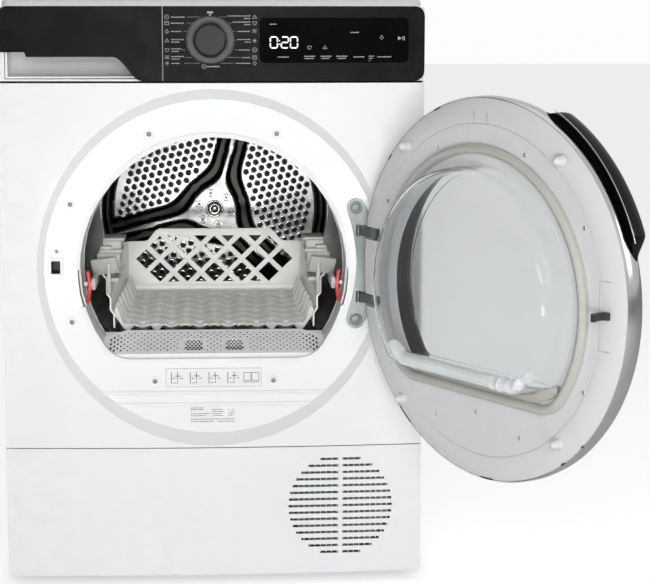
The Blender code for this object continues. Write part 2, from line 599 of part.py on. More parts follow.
def build_drawer():
    x = HALF_W
    front = bowed("drawer_front", -x, DRAWER_RIGHT - GAP * 2, FASCIA_Z0, FASCIA_TOP, 0, 0, "gloss_black", 8, FASCIA_T)
    shape = lip_line() + [(DRAWER_RIGHT + 0.05, FASCIA_Z0), (DRAWER_RIGHT + 0.05, FASCIA_TOP)]
    shape += arc(-x + 0.014, FASCIA_TOP - 0.014, 0.014, math.pi / 2, math.pi, 5)
    corners = outline_solid("drawer_outline", [shape], FRONT_Y - 0.05, FRONT_Y + 0.05, "Y")
    boolean(front, corners, "INTERSECT")
    low = FASCIA_Z0 + 0.0347
    lip = outline_solid("drawer_lip", [[(FRONT_Y - 0.0075, low), (FRONT_Y + 0.018, low + 0.0025),
                                        (FRONT_Y + 0.018, low + 0.0050), (FRONT_Y - 0.0075, low + 0.0125)]],
                        -0.250, -0.142, "X")
    trim = bowed("lip_trim", -x, x, FASCIA_Z0, FASCIA_TOP, 0.001, FRONT_Y + 0.03, None, 16)
    boolean(lip, trim, "INTERSECT")
    join(front, lip)
    build_tank()


def build_tank():
    """Condensate tank with a quarter-round grip scoop in its front, below the black front's lip."""
    y_front, y_end = FRONT_Y + FASCIA_T + GAP * 2, AIR_WALL_Y - TANK_BACK_CLEAR
    y_deep = FRAME_BACK_Y + 0.002
    body = [(TANK_LEFT, TANK_FRONT_Z), (TANK_SLOPE_X, TANK_FRONT_Z), (TANK_RIGHT, TANK_FRONT_Z), (TANK_RIGHT, TANK_TOP),
            (TANK_LEFT, TANK_TOP)]
    front = outline_solid("tank_front", [body], y_front, y_deep, "Y")
    body = [(TANK_LEFT, TANK_LOW), (TANK_SLOPE_X, TANK_LOW), (TANK_RIGHT, TANK_SIDE_Z), (TANK_RIGHT, TANK_TOP),
            (TANK_LEFT, TANK_TOP)]
    tank = outline_solid("water_tank", [body], y_deep - 0.001, y_end, "Y", "white_plastic")
    wall = 0.0025
    inner = [(TANK_LEFT + wall, TANK_LOW + wall), (TANK_SLOPE_X - 0.001, TANK_LOW + wall),
             (TANK_RIGHT - wall, TANK_SIDE_Z + wall * 1.4), (TANK_RIGHT - wall, TANK_TOP - wall),
             (TANK_LEFT + wall, TANK_TOP - wall)]
    hollow = outline_solid("tank_hollow", [inner], y_deep + wall, y_end - wall, "Y")
    filler = box("tank_filler", (-0.20, y_end - 0.05, TANK_TOP - 0.015), (-0.16, y_end - 0.02, TANK_TOP + 0.025))
    scoop = rod("grip_scoop", (TANK_LEFT + 0.003, y_front, TANK_FRONT_Z + 0.0025 + GRIP_R),
                TANK_RIGHT - TANK_LEFT - 0.010, GRIP_R, "X", segments=40)
    join(tank, front)
    cut(tank, hollow, filler, scoop)


# ---- drum ---------------------------------------------------------------------------------------
def build_drum():
    y0, length, r = DRUM_FRONT_Y, DRUM_LEN, DRUM_R
    t = DRUM_T
    flange = r - 0.0325
    profile = [(flange, length), (r, length), (r, 0.008), (r - 0.008, 0), (r - 0.022, 0), (r - 0.022, t),
               (r - 0.009, t), (r - t, 0.009), (r - t, length - t), (flange, length - t)]
    shade(turned("drum_shell", profile, (0, y0, DRUM_Z), "Y", "stainless", 40))
    back = length - t - GAP
    wall = [(0.0155, back - 0.020), (DISH_R, back - 0.020), (DISH_R + 0.006, back - 0.002), (r - t - GAP, back - t),
            (r - t - GAP, back), (DISH_R + 0.0045, back), (DISH_R - 0.0015, back - 0.0184), (0.0155, back - 0.0184)]
    shade(turned("drum_rear_wall", wall, (0, y0, DRUM_Z), "Y", "stainless", 40))
    face = y0 + back - 0.020 - GAP
    thick = 0.006
    spider = rod("drum_spider", (0, face - thick, DRUM_Z), thick, 0.062, "Y", "stainless", 40)
    reach = DISH_R - 0.008
    for k, angle in enumerate(ARM_TURN):
        a = math.radians(angle)
        side = Vector((-math.sin(a), math.cos(a)))
        along = Vector((math.cos(a), math.sin(a)))
        corners = [along * u + side * v for u, v in ((0.02, -0.030), (reach, -0.022), (reach, 0.022), (0.02, 0.030))]
        arm = outline_solid(f"spider_arm_{k}", [[(c.x, DRUM_Z + c.y) for c in corners]], face - thick + 0.0004,
                            face - 0.0004, "Y")
        join(spider, arm)
    shade(turned("drum_hub", [(0, 0.012), (0.034, 0.012), (0.034, 0.004), (0.030, 0), (0, 0)],
                 (0, face - thick - GAP - 0.012, DRUM_Z), "Y", "stainless", 40))
    end = DRUM_REAR_Y + 0.048
    rod("drum_shaft", (0, face + GAP, DRUM_Z), end - face - GAP, SHAFT_R, "Y", "zinc", 32)
    for k, angle in enumerate(ARM_TURN):
        build_lifter(f"drum_lifter_{k + 1}", math.radians(angle + 60), y0, length)
    return end


def build_lifter(name, angle, y0, length):
    """A rounded ridge along the drum's wall, drawn at the bottom and turned to its place."""
    r = DRUM_R - DRUM_T - GAP
    half, height = 0.030, 0.040
    spread = half / r
    seat = r - 0.001
    foot = [(seat * math.sin(a), -seat * math.cos(a)) for a in (-spread, -spread / 2, 0, spread / 2, spread)]
    crest = [(half * 0.42 * math.cos(i * math.pi / 4), -r + height - 0.012 + 0.012 * math.sin(i * math.pi / 4))
             for i in range(5)]
    points = [Vector(p) for p in foot + crest]
    turn = Matrix.Rotation(angle + math.pi / 2, 2)
    loop = [(turn @ p) + Vector((0, DRUM_Z)) for p in points]
    soften(outline_solid(name, [[tuple(p) for p in loop]], y0 + 0.022, y0 + length - 0.030, "Y", "white_plastic"), 0.003, 1)


def build_drive(shaft_end):
    """Rear bearing, front rollers, motor, belt and fan."""
    y_wall = AIR_WALL_Y
    x, hole, ring = INSIDE_X - 0.0082, 0.012, DISH_R - 0.036
    bulkhead = outline_solid("rear_bulkhead", [rounded_box(-x, x, TRAY_TOP + 0.01, CAB_TOP - 0.051, 0.02),
                                               circle(0, DRUM_Z, 0.045, 32)], y_wall, y_wall + SHEET, "Y", "zinc")
    middles = [(ring * math.cos(math.tau * i / 12), DRUM_Z + ring * math.sin(math.tau * i / 12)) for i in range(12)]
    vents = boxes("air_holes", [((cx - hole, y_wall - 0.01, cz - hole), (cx + hole, y_wall + 0.01, cz + hole))
                                for cx, cz in middles])
    cut(bulkhead, vents)
    turned("rear_bearing_housing", [(SHAFT_R + GAP, 0.022), (0.030, 0.022), (0.030, 0.006), (0.060, 0.006), (0.060, 0),
                                    (SHAFT_R + GAP, 0)], (0, y_wall + SHEET + GAP, DRUM_Z), "Y", "zinc", 24)
    reach = DRUM_R + ROLLER_R + GAP
    y_roll = DRUM_FRONT_Y + 0.030
    for side, name in ((-1, "left"), (1, "right")):
        a = math.radians(-90 + side * ROLLER_TURN)
        x, z = reach * math.cos(a), DRUM_Z + reach * math.sin(a)
        wheel = turned("drum_roller_" + name, [(0.0045, 0.014), (ROLLER_R, 0.014), (ROLLER_R, 0), (0.0045, 0)],
                       (x, y_roll, z), "Y", "black_rubber", 28)
        centre_at(wheel, (x, y_roll, z))
        axle = rod("roller_axle_" + name, (x, BULKHEAD_Y + 0.001, z), y_roll + 0.018 - BULKHEAD_Y, 0.0040, "Y", None, 20)
        join(bpy.data.objects["front_bulkhead"], axle)
    build_motor()


def build_motor():
    body_y0, body_y1 = -0.06, 0.045
    can = rod("motor", (MOTOR_X, body_y0, MOTOR_Z), body_y1 - body_y0, 0.052, "Y", "zinc", 32)
    cut(can, rod("motor_bore", (MOTOR_X, body_y0 - 0.02, MOTOR_Z), 0.2, 0.005 + GAP, "Y", segments=20))
    foot = box("motor_foot", (MOTOR_X - 0.04, body_y0 + 0.01, 0.0045), (MOTOR_X + 0.04, body_y1 - 0.01, MOTOR_Z - 0.03))
    join(can, foot)
    shaft_y0, shaft_y1 = -0.115, BELT_Y + 0.012
    shaft = rod("motor_pulley", (MOTOR_X, shaft_y0, MOTOR_Z), shaft_y1 - shaft_y0, 0.005, "Y", "zinc", 20)
    join(shaft, rod("pulley_rim", (MOTOR_X, BELT_Y - 0.008, MOTOR_Z), 0.016, PULLEY_R, "Y", None, 32))
    build_fan(shaft_y0)
    build_belt()


def build_fan(y0):
    """Centrifugal wheel: a back disc on a hub, with blades in one piece."""
    fan = turned("process_fan", [(0.0053, 0.034), (0.014, 0.034), (0.014, 0.003), (FAN_R, 0.003), (FAN_R, 0),
                                 (0.0053, 0)], (MOTOR_X, y0 + 0.002, MOTOR_Z), "Y", "dark_plastic", 24)
    for k in range(8):
        a = math.tau * k / 8
        matrix = (Matrix.Translation((MOTOR_X, y0 + 0.018, MOTOR_Z)) @ Matrix.Rotation(a, 4, "Y")
                  @ Matrix.Translation((FAN_R - 0.020, 0, 0)) @ Matrix.Rotation(0.5, 4, "Y")
                  @ Matrix.Diagonal((0.030, 0.032, 0.002, 1)))
        mesh = mesh_from("blade", lambda shape: bmesh.ops.create_cube(shape, size=1, matrix=matrix))
        blade = add_object(f"fan_blade_{k}", mesh, None)
        join(fan, blade)
    centre_at(fan, (MOTOR_X, BELT_Y, MOTOR_Z))


def build_belt():
    """A flat belt: it wraps the drum and the motor pulley on their common tangents."""
    centre_d, centre_p = Vector((0, DRUM_Z)), Vector((MOTOR_X, MOTOR_Z))
    span = centre_p - centre_d
    heading, lean = math.atan2(span.y, span.x), math.acos((DRUM_R - PULLEY_R) / span.length)

    def loop(grow):
        drum = arc(0, DRUM_Z, DRUM_R + 0.0011 + grow, heading + lean, heading - lean + math.tau, 40)
        small = arc(MOTOR_X, MOTOR_Z, PULLEY_R + GAP + grow, heading - lean, heading + lean, 10)
        return drum + small
    outline_solid("drive_belt", [loop(BELT_T), loop(0)], BELT_Y - BELT_W / 2, BELT_Y + BELT_W / 2, "Y", "black_rubber")


def build_heat_pump():
    x, y = 0.170, DRUM_REAR_Y - 0.060
    pot = rod("compressor", (x, y, 0.0345), 0.150, 0.058, "Z", "dark_plastic", 36)
    join(pot, box("compressor_foot", (x - 0.025, y - 0.025, 0.0045), (x + 0.025, y + 0.025, 0.036)))
    for name, y0, y1 in (("evaporator", -0.208, -0.150), ("condenser", -0.140, -0.040)):
        block = box(name, (-0.115, y0, 0.0045), (0.095, y1, 0.160), "aluminium")
        fins = boxes(name + "_fins", [((-0.110 + i * 0.0225, y0 - 0.01, 0.0095), (-0.0975 + i * 0.0225, y1 + 0.01, 0.155))
                                      for i in range(9)])
        cut(block, fins)


# ---- door ---------------------------------------------------------------------------------------
def build_door():
    hinge = bpy.data.objects.new("door_hinge_axis", None)
    PARTS.objects.link(hinge)
    hinge.location = (HINGE.x, HINGE.y, DOOR_Z)
    p0 = DOOR_PLATE_Y
    relief = door_relief(p0)
    pieces = [build_door_plate(p0, relief), build_door_rim(p0, relief), build_window(p0, relief), build_handle(p0),
              build_bowl(p0), build_gasket(p0), build_hook(p0)]
    low, high = HINGE_Z[0] - PIN_OVER, HINGE_Z[1] + PIN_OVER
    pieces.append(rod("hinge_pin", (HINGE.x, HINGE.y, low), high - low, PIN_R, "Z", "zinc", 20))
    place = hinge.location
    for piece in pieces:
        piece.data.transform(Matrix.Translation(-place))
        piece.parent = hinge
    for cutter in relief:
        on_door(cutter)
    hinge.rotation_euler = (0, 0, DOOR_ANGLE)


def door_relief(p0):
    """Cutters that let the rim and plate clear the cabinet and the hinge arms while the door swings."""
    far = 0.262
    bevel = outline_solid("hinge_side_bevel", [[(0.2475, p0 + 0.01), (far + 0.02, p0 + 0.01), (far + 0.02, p0 - 0.08),
                                                (0.2230, p0 - 0.08), (0.2260, p0 - 0.036)]], DOOR_Z - 0.2, DOOR_Z + 0.2, "Z")
    notches = boxes("arm_notches", [((0.2020, HINGE.y - 0.0115, z - ARM_H / 2 - 0.003), (far, p0 + 0.03, z + ARM_H / 2 + 0.003))
                                    for z in HINGE_Z])
    gap_low, gap_high = HINGE_Z[0] - ARM_H / 2 - 0.003, HINGE_Z[1] + ARM_H / 2 + 0.003
    rim_gap = box("rim_gap", (0.2350, p0 - 0.05, gap_low), (far, p0 + 0.03, gap_high))
    return [bevel, notches, rim_gap]


def build_door_plate(p0, relief):
    high = DOOR_RAISE
    profile = [(0, high), (0.230, high), (0.239, 0), (DOOR_R, 0), (DOOR_R, -0.0025), (0.238, -0.0025),
               (0.229, high - 0.0025), (0, high - 0.0025)]
    plate = shade(turned("door_inner_plate", profile, (0, p0, DOOR_Z), "Y", "white_plastic", 48))
    hole = on_door(outline_solid("bowl_hole", [mouth(-BOWL_INSET + GAP)], p0 - 0.05, p0 + 0.05, "Y"))
    cut(plate, hole, relief[0], relief[1])
    for k, (x, dz) in enumerate(BUMPERS):
        dome = [(0, 0.0145), (0.0045, 0.0130), (0.006, 0.009), (0.006, 0), (0, 0)]
        place = (x, p0 + DOOR_RAISE - 0.001, DOOR_Z + dz)
        join(plate, on_door(turned(f"door_bumper_{k + 1}", dome, place, "Y", None, 12)))
    return plate


def on_door(made):
    """Let a joined or cutting shape swing with the door."""
    hinge = bpy.data.objects["door_hinge_axis"]
    made.data.transform(Matrix.Translation(-hinge.location))
    made.parent = hinge
    return made


def build_door_rim(p0, relief):
    back = -DOOR_T
    profile = [(0.2460, -0.0028), (0.2495, -0.0028), (0.2510, -0.013), (0.2470, back + 0.003), (0.2340, back - 0.004),
               (0.2290, back - 0.004), (0.2290, back - 0.001), (0.2335, back - 0.001), (0.2440, back + 0.005),
               (0.2475, -0.013)]
    rim = shade(turned("door_rim", profile, (0, p0, DOOR_Z), "Y", "chrome", 48))
    cut(rim, relief[0], relief[2])
    return rim


def build_window(p0, relief):
    back = -DOOR_T
    profile = [(0, back - 0.0125), (0.12, back - 0.0105), (0.2287, back - 0.0035), (0.2287, back - 0.0003),
               (0.12, back - 0.0070), (0, back - 0.0090)]
    profile = list(reversed(profile))
    window = shade(turned("door_window", profile, (0, p0, DOOR_Z), "Y", "smoked_glass", 48))
    cut(window, relief[0])
    return window


def build_handle(p0):
    """A grip along the rim's upper free side, with a finger gap behind it."""
    outer, inner = 0.2590, 0.2513
    a0, a1 = math.radians(180 - 69), math.radians(180 - 15)
    loop = arc(0, DOOR_Z, outer, a0 + 0.05, a1 - 0.05, 20) + list(reversed(arc(0, DOOR_Z, inner, a0, a1, 20)))
    return soften(outline_solid("door_handle", [loop], p0 - 0.036, p0 - 0.006, "Y", "gloss_black"), 0.002, 1)


def build_bowl(p0):
    """A clear cup with a flat bottom that fills the opening when the door is shut."""
    y0, y1, wall = p0 - 0.020, p0 + BOWL_DEPTH, 0.003
    cup = outline_solid("door_bowl", [mouth(-BOWL_INSET)], y0, y1, "Y", "clear_plastic")
    soften(cup, 0.010, 2, 60)
    hollow = outline_solid("bowl_hollow", [mouth(-BOWL_INSET - wall)], y0 - 0.02, y1 - wall, "Y")
    soften(hollow, 0.008, 2, 60)
    cut(cup, on_door(hollow))
    return cup


def build_gasket(p0):
    y0 = p0 + DOOR_RAISE + GAP
    y1 = MOUTH_FRONT_Y - GAP
    ring = outline_solid("door_gasket", [mouth(0.0060), mouth(-0.0060)], y0, y1, "Y", "rubber")
    return ring


def build_hook(p0):
    y0 = p0 + DOOR_RAISE + GAP
    hook = outline_solid("door_hook", [[(-0.2290, y0), (-0.2185, y0), (-0.2185, RING_BACK_Y + 0.006), (-0.2215, RING_BACK_Y + 0.009),
                                        (-0.2265, RING_BACK_Y + 0.009), (-0.2265, RING_BACK_Y + 0.004), (-0.2235, RING_BACK_Y + 0.002),
                                        (-0.2235, y0 + 0.006), (-0.2290, y0 + 0.004)]], 0.4450, 0.4540, "Z", "dark_plastic")
    return hook


def bracket_outline():
    """Two round lobes for the screws, a waist on the opening's side and a nearly straight outer edge."""
    lobe, edge, half = 0.0135, HINGE.x - 0.0090, 0.0805
    x, middle = HINGE.x - 0.0250, (HINGE_Z[0] + HINGE_Z[1]) / 2
    waist = 0.0145
    upper = arc(x, middle + half, lobe, math.radians(42), math.radians(195), 8)
    lower = arc(x, middle - half, lobe, math.radians(165), math.radians(318), 8)
    span = half - 0.004
    inner = [(x - lobe + waist * (1 - t * t), middle - span * t) for t in (-0.75, -0.5, -0.25, 0, 0.25, 0.5, 0.75)]
    outer = [(edge + 0.0018, middle - half + 0.006), (edge, middle - half + 0.028), (edge, middle + half - 0.028),
             (edge + 0.0018, middle + half - 0.006)]
    return upper + inner + lower + outer


def build_hinge_bracket():
    """A zinc plate on the recess floor with two arms that carry the door's pins."""
    y1 = RING_FLOOR_Y - GAP
    y0 = y1 - 0.0022
    plate = outline_solid("hinge_bracket", [bracket_outline()], y0, y1, "Y", "zinc")
    eye = 0.0065
    slant = eye * math.cos(math.pi / 4)
    root0, root1 = HINGE.x - 0.0195, HINGE.x - 0.0092
    for k, z in enumerate(HINGE_Z):
        low, high = z - ARM_H / 2, z + ARM_H / 2
        arm = outline_solid(f"hinge_arm_{k}", [[(root0, y0 + 0.001), (root0, y0 - 0.012),
                                                (HINGE.x - 0.006, HINGE.y - 0.0025), (HINGE.x, HINGE.y - eye),
                                                (HINGE.x + slant, HINGE.y - slant), (HINGE.x + eye, HINGE.y),
                                                (HINGE.x + slant, HINGE.y + slant), (HINGE.x - 0.006, HINGE.y + 0.012),
                                                (root1, y0 + 0.001)]], low, high, "Z")
        join(plate, arm)
        cut(plate, rod(f"pin_bore_{k}", (HINGE.x, HINGE.y, low - 0.01), ARM_H + 0.02, PIN_R + 0.0001, "Z", segments=20))


def build_latch():
    outline_solid("latch_plate", [rounded_box(-0.2370, -0.2120, 0.4350, 0.4640, 0.002, 2),
                                  rounded_box(-0.2300, -0.2170, 0.4400, 0.4585, 0.001, 1)],
                  RING_FLOOR_Y - GAP - 0.0015, RING_FLOOR_Y - GAP, "Y", "white_plastic")
    housing = box("latch_housing", (-0.2385, RING_BACK_Y + GAP, 0.4300), (-0.2080, RING_BACK_Y + 0.030, 0.4690),
                  "dark_plastic")
    cut(housing, box("latch_pocket", (-0.2300, RING_FLOOR_Y, 0.4400), (-0.2120, RING_BACK_Y + 0.022, 0.4585)))


# ---- drying rack --------------------------------------------------------------------------------
def build_rack():
    """A shelf that hangs in the loading opening: tray, lattice back, side walls and two hooked arms."""
    tray = outline_solid("drying_rack", [[(RACK_Y0, RACK_Z0), (RACK_Y0, RACK_Z0 - 0.004), (RACK_Y1, RACK_Z1 - 0.004),
                                          (RACK_Y1, RACK_Z1)]], -RACK_X, RACK_X, "X", "grey_plastic")
    front_rail = box("rack_front_rail", (-RACK_X, RACK_Y0 - 0.003, RACK_Z0 - 0.004),
                     (RACK_X, RACK_Y0 + 0.003, RACK_Z0 + 0.004))
    join(tray, rack_back(), front_rail)
    for side in (-1, 1):
        join(tray, *rack_side(side))
        build_clip(side)


def across(side, near, far):
    """Two distances inside the opening's radius, as ordered X on one side."""
    return sorted((side * (MOUTH_R - near), side * (MOUTH_R - far)))


def rack_side(side):
    """Side wall, a shelf out to the opening, its upright hook, and the leg and peg that carry the clip."""
    x0, x1 = sorted((side * RACK_X, side * (RACK_X - RACK_WALL)))
    wall = outline_solid(f"rack_cheek_{side}", [[(RACK_Y0, RACK_Z0 - 0.004), (RACK_Y1 + 0.001, RACK_Z1 - 0.006),
                                                 (RACK_Y1 + 0.001, RACK_SHOULDER - 0.0005), (RACK_Y0 + 0.02, 0.440),
                                                 (RACK_Y0, 0.425)]], x0, x1, "X")
    shelf_x0, shelf_x1 = across(side, RACK_INSET + 0.001, 0.0176)
    hook_x0, hook_x1 = across(side, 0.0216, 0.0176)
    shelf_y = FILTER_Y1 + 2 * RUN
    shelf = box(f"rack_arm_{side}", (shelf_x0, shelf_y, 0.4340), (shelf_x1, RACK_Y0 + 0.060, 0.4375))
    hook = box(f"rack_hook_{side}", (hook_x0, FRONT_Y + 0.052, 0.4150), (hook_x1, RACK_Y0 + 0.045, 0.4800))
    leg = box(f"rack_leg_{side}", (hook_x0, FRONT_Y + 0.030, 0.4150), (hook_x1, FRONT_Y + 0.060, 0.4300))
    peg_x0, peg_x1 = across(side, 0.0181, 0.0086)
    peg = rod(f"rack_peg_{side}", (peg_x0, PEG_Y, PEG_Z), peg_x1 - peg_x0, PEG_R, "X", None, 16)
    return wall, shelf, hook, leg, peg


def build_clip(side):
    """A small lever: an eye on the peg and a tail hanging below it."""
    x0, x1 = across(side, 0.0161, 0.0101)
    eye = 0.0085
    tail = [(PEG_Y - eye, PEG_Z - 0.0175), (PEG_Y - 0.0125, PEG_Z - 0.0225), (PEG_Y - 0.0125, PEG_Z - 0.0265),
            (PEG_Y + 0.0050, PEG_Z - 0.0265), (PEG_Y + eye, PEG_Z - 0.0205)]
    clip = outline_solid("rack_clip_" + ("left" if side < 0 else "right"),
                         [arc(PEG_Y, PEG_Z, eye, 0, math.pi, 8) + tail], x0, x1, "X", "red_plastic")
    cut(clip, rod(f"clip_bore_{side}", (x0 - 0.01, PEG_Y, PEG_Z), 0.03, PEG_R + 0.0002, "X", None, 16))


def rack_back():
    """Back panel with stepped shoulders and a diamond lattice in its middle."""
    half, low = RACK_X, RACK_Z1 - 0.004
    field, shoulder = half - FIELD_INSET, half - SHOULDER_INSET
    outline = [(-half, low), (half, low), (half, RACK_SHOULDER), (shoulder, RACK_SHOULDER), (field, RACK_TOP),
               (-field, RACK_TOP), (-shoulder, RACK_SHOULDER), (-half, RACK_SHOULDER)]
    reach, rise = (LATTICE_PITCH - 2 * LATTICE_WEB * 1.41) / 2 + 0.001, LATTICE_ROW - LATTICE_WEB * 0.9
    top = RACK_TOP - 0.0270
    holes = []
    columns = int((2 * half - 2 * LATTICE_MARGIN) / LATTICE_PITCH)
    for row, count in enumerate((columns - 1, columns, columns - 1)):
        z = top - row * LATTICE_ROW
        for k in range(count):
            x = (k - (count - 1) / 2) * LATTICE_PITCH
            holes.append([(x - reach, z), (x, z - rise), (x + reach, z), (x, z + rise)])
    return outline_solid("rack_back", [outline] + holes, RACK_Y1 - RACK_WALL, RACK_Y1, "Y")


# ---- assembly -----------------------------------------------------------------------------------
def main():
    global PARTS, CUTTERS
    clear_scene()
    PARTS = collection("clothes_dryer")
    CUTTERS = collection("cutters")
    build_base()
    build_sides()
    build_rear()
    build_worktop()
    build_front_panel()
    build_kick()
    clips = build_bezel()
    cut(bpy.data.objects["opening_bezel"], clips)
    build_bulkhead()
    build_filter()
    build_controls()
    build_drawer()
    shaft_end = build_drum()
    build_drive(shaft_end)
    build_heat_pump()
    build_hinge_bracket()
    build_latch()
    build_rack()
    build_door()


main()
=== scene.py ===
"""The look of a heat-pump clothes dryer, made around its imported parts.

Metres, +Z up, the front faces -Y and the door hangs on the +X side. Pieces of the door are drawn with
the door shut and then swung open with it.
"""

import json
import math

import bmesh
import bpy
from mathutils import Matrix, Vector


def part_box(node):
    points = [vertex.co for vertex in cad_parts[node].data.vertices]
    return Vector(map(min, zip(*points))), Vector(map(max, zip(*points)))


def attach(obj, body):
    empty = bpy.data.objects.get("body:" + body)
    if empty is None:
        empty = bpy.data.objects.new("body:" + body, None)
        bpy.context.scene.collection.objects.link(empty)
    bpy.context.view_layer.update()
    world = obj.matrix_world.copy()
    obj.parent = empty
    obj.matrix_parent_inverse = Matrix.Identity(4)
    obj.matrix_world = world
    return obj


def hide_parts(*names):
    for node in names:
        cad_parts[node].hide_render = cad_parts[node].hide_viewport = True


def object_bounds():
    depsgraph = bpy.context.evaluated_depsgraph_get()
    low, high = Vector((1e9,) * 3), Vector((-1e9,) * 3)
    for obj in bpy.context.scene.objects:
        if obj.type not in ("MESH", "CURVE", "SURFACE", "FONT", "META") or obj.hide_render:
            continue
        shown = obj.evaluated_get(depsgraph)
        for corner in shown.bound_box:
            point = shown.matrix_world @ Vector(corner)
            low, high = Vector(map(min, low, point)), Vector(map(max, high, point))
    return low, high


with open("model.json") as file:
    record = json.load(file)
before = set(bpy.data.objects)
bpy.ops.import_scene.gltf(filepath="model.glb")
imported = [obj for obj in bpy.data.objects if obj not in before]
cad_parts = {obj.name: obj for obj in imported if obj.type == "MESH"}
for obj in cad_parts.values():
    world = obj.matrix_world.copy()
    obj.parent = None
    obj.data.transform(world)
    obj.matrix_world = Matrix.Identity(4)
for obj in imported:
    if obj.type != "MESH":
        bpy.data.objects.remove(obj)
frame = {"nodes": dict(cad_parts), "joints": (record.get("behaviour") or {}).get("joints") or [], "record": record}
cad_low, cad_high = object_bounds()

# ---- sizes taken from the frame -----------------------------------------------------------------
MM = 0.001
PANEL_LOW, PANEL_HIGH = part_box("front_panel")
HALF_W = PANEL_HIGH.x
BOW = 10 * MM
CROWN_Y = PANEL_LOW.y
PANEL_SHEET = 1.5 * MM
FLOOR_Y = PANEL_HIGH.y - PANEL_SHEET          # floor of the round recess in the front

LIP_W = 6.5 * MM
BEZEL_LOW, BEZEL_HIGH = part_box("opening_bezel")
MOUTH_R = BEZEL_HIGH.x - LIP_W
MOUTH_Z = BEZEL_HIGH.z - LIP_W - MOUTH_R
MOUTH_FLAT = BEZEL_LOW.z + LIP_W
MOUTH_FILLET = 45 * MM

HINGE_JOINT = next(joint for joint in frame["joints"] if joint["name"] == "door_hinge")
HINGE = Vector(HINGE_JOINT["pos_m"])
DOOR_SWING = -math.radians(HINGE_JOINT["range_deg"][0])
OPEN = Matrix.Translation(HINGE) @ Matrix.Rotation(DOOR_SWING, 4, "Z") @ Matrix.Translation(-HINGE)


def shut_box(node):
    """A door node's lowest and highest corners with the door shut."""
    back = OPEN.inverted()
    corners = [back @ vertex.co for vertex in frame["nodes"][node].data.vertices]
    low = Vector([min(c[i] for c in corners) for i in range(3)])
    high = Vector([max(c[i] for c in corners) for i in range(3)])
    return low, high


RIM_LOW, RIM_HIGH = shut_box("door_rim")
DOOR_Z = (RIM_LOW.z + RIM_HIGH.z) / 2
RIM_R = (RIM_HIGH.z - RIM_LOW.z) / 2
PLATE_Y = RIM_HIGH.y + 2.8 * MM               # edge plane of the door's inner plate
PLATE_FACE = PLATE_Y + 8 * MM                 # its raised middle, towards the cabinet
PLATE_R = RIM_R - 3 * MM

DRUM_LOW, DRUM_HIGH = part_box("drum_shell")
DRUM_Z = (DRUM_LOW.z + DRUM_HIGH.z) / 2
DRUM_R = DRUM_HIGH.x
WALL_LOW, WALL_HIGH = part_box("drum_rear_wall")

KNOB_LOW, KNOB_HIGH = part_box("programme_knob")
KNOB_X = (KNOB_LOW.x + KNOB_HIGH.x) / 2
KNOB_Z = (KNOB_LOW.z + KNOB_HIGH.z) / 2


def skin_y(x, out=0.0):
    """The swelling front at x, moved forward by out."""
    return CROWN_Y + BOW * (x / HALF_W) ** 2 - out


# ---- camera, light, floor -----------------------------------------------------------------------
EYE = Vector((0.0120, CROWN_Y - 2.2294, 0.7916))
HEADING, TILT = 2.56, -6.79                   # degrees to the right of +Y, and up
SHIFT = (0.05, -0.12)
VIEW_ANGLE = 23.057                           # degrees across the picture


def add_camera():
    lens = bpy.data.cameras.new("camera")
    lens.sensor_fit = "HORIZONTAL"
    lens.angle = math.radians(VIEW_ANGLE)
    lens.shift_x, lens.shift_y = SHIFT
    lens.clip_end = 50
    camera = bpy.data.objects.new("camera", lens)
    bpy.context.scene.collection.objects.link(camera)
    camera.location = EYE
    camera.rotation_euler = (math.radians(90 + TILT), 0, math.radians(-HEADING))
    bpy.context.scene.camera = camera


# each light: name, place, the point it faces, width and height, watts
LIGHTS = (("key", (-1.3, -2.9, 2.1), (0, 0, 0.4), (1.4, 1.0), 4),
          ("front", (0.05, -3.1, 1.35), (0, 0, 0.45), (1.6, 0.6), 21),
          ("low", (0.0, -3.0, 0.16), (0, 0, 0.4), (1.6, 0.3), 26),
          ("fill", (2.3, -1.9, 1.5), (0, 0, 0.4), (1.2, 1.2), 10),
          ("top", (0.0, 0.2, 3.0), (0, 0, 0), (2.2, 2.2), 5))
SKY_SEEN, SKY_ROOM, SKY_GLOSS, SKY_MOST = 0.76, 0.22, 0.45, 0.98
FLOOR_REACH, FLOOR_GLOW = 30, 0.60


def add_area_light(name, place, aim, size, watts):
    lamp = bpy.data.lights.new(name, "AREA")
    lamp.shape = "RECTANGLE"
    lamp.size, lamp.size_y = size
    lamp.energy = watts
    made = bpy.data.objects.new(name, lamp)
    bpy.context.scene.collection.objects.link(made)
    made.location = place
    made.rotation_euler = (Vector(aim) - Vector(place)).to_track_quat("-Z", "Y").to_euler()


def add_studio():
    world = bpy.data.worlds.new("studio")
    world.use_nodes = True
    tree = world.node_tree
    sky = tree.nodes["Background"]
    sky.inputs["Color"].default_value = (1, 1, 1, 1)
    ray = node(tree, "ShaderNodeLightPath")
    level = maths(tree, "ADD", maths(tree, "MULTIPLY", seen_ray(tree, ray), SKY_SEEN), SKY_ROOM)
    level = maths(tree, "ADD", maths(tree, "MULTIPLY", ray.outputs["Is Glossy Ray"], SKY_GLOSS), level)
    tree.links.new(maths(tree, "MINIMUM", level, SKY_MOST), sky.inputs["Strength"])
    bpy.context.scene.world = world
    bpy.context.scene.view_settings.view_transform = "Standard"
    for light in LIGHTS:
        add_area_light(*light)
    mesh = bpy.data.meshes.new("studio_floor")
    shape = bmesh.new()
    bmesh.ops.create_grid(shape, x_segments=8, y_segments=8, size=FLOOR_REACH)
    bmesh.ops.translate(shape, verts=shape.verts, vec=(0, 0, cad_low.z))
    shape.to_mesh(mesh)
    shape.free()
    floor = bpy.data.objects.new("studio_floor", mesh)
    bpy.context.scene.collection.objects.link(floor)
    mesh.materials.append(floor_finish())


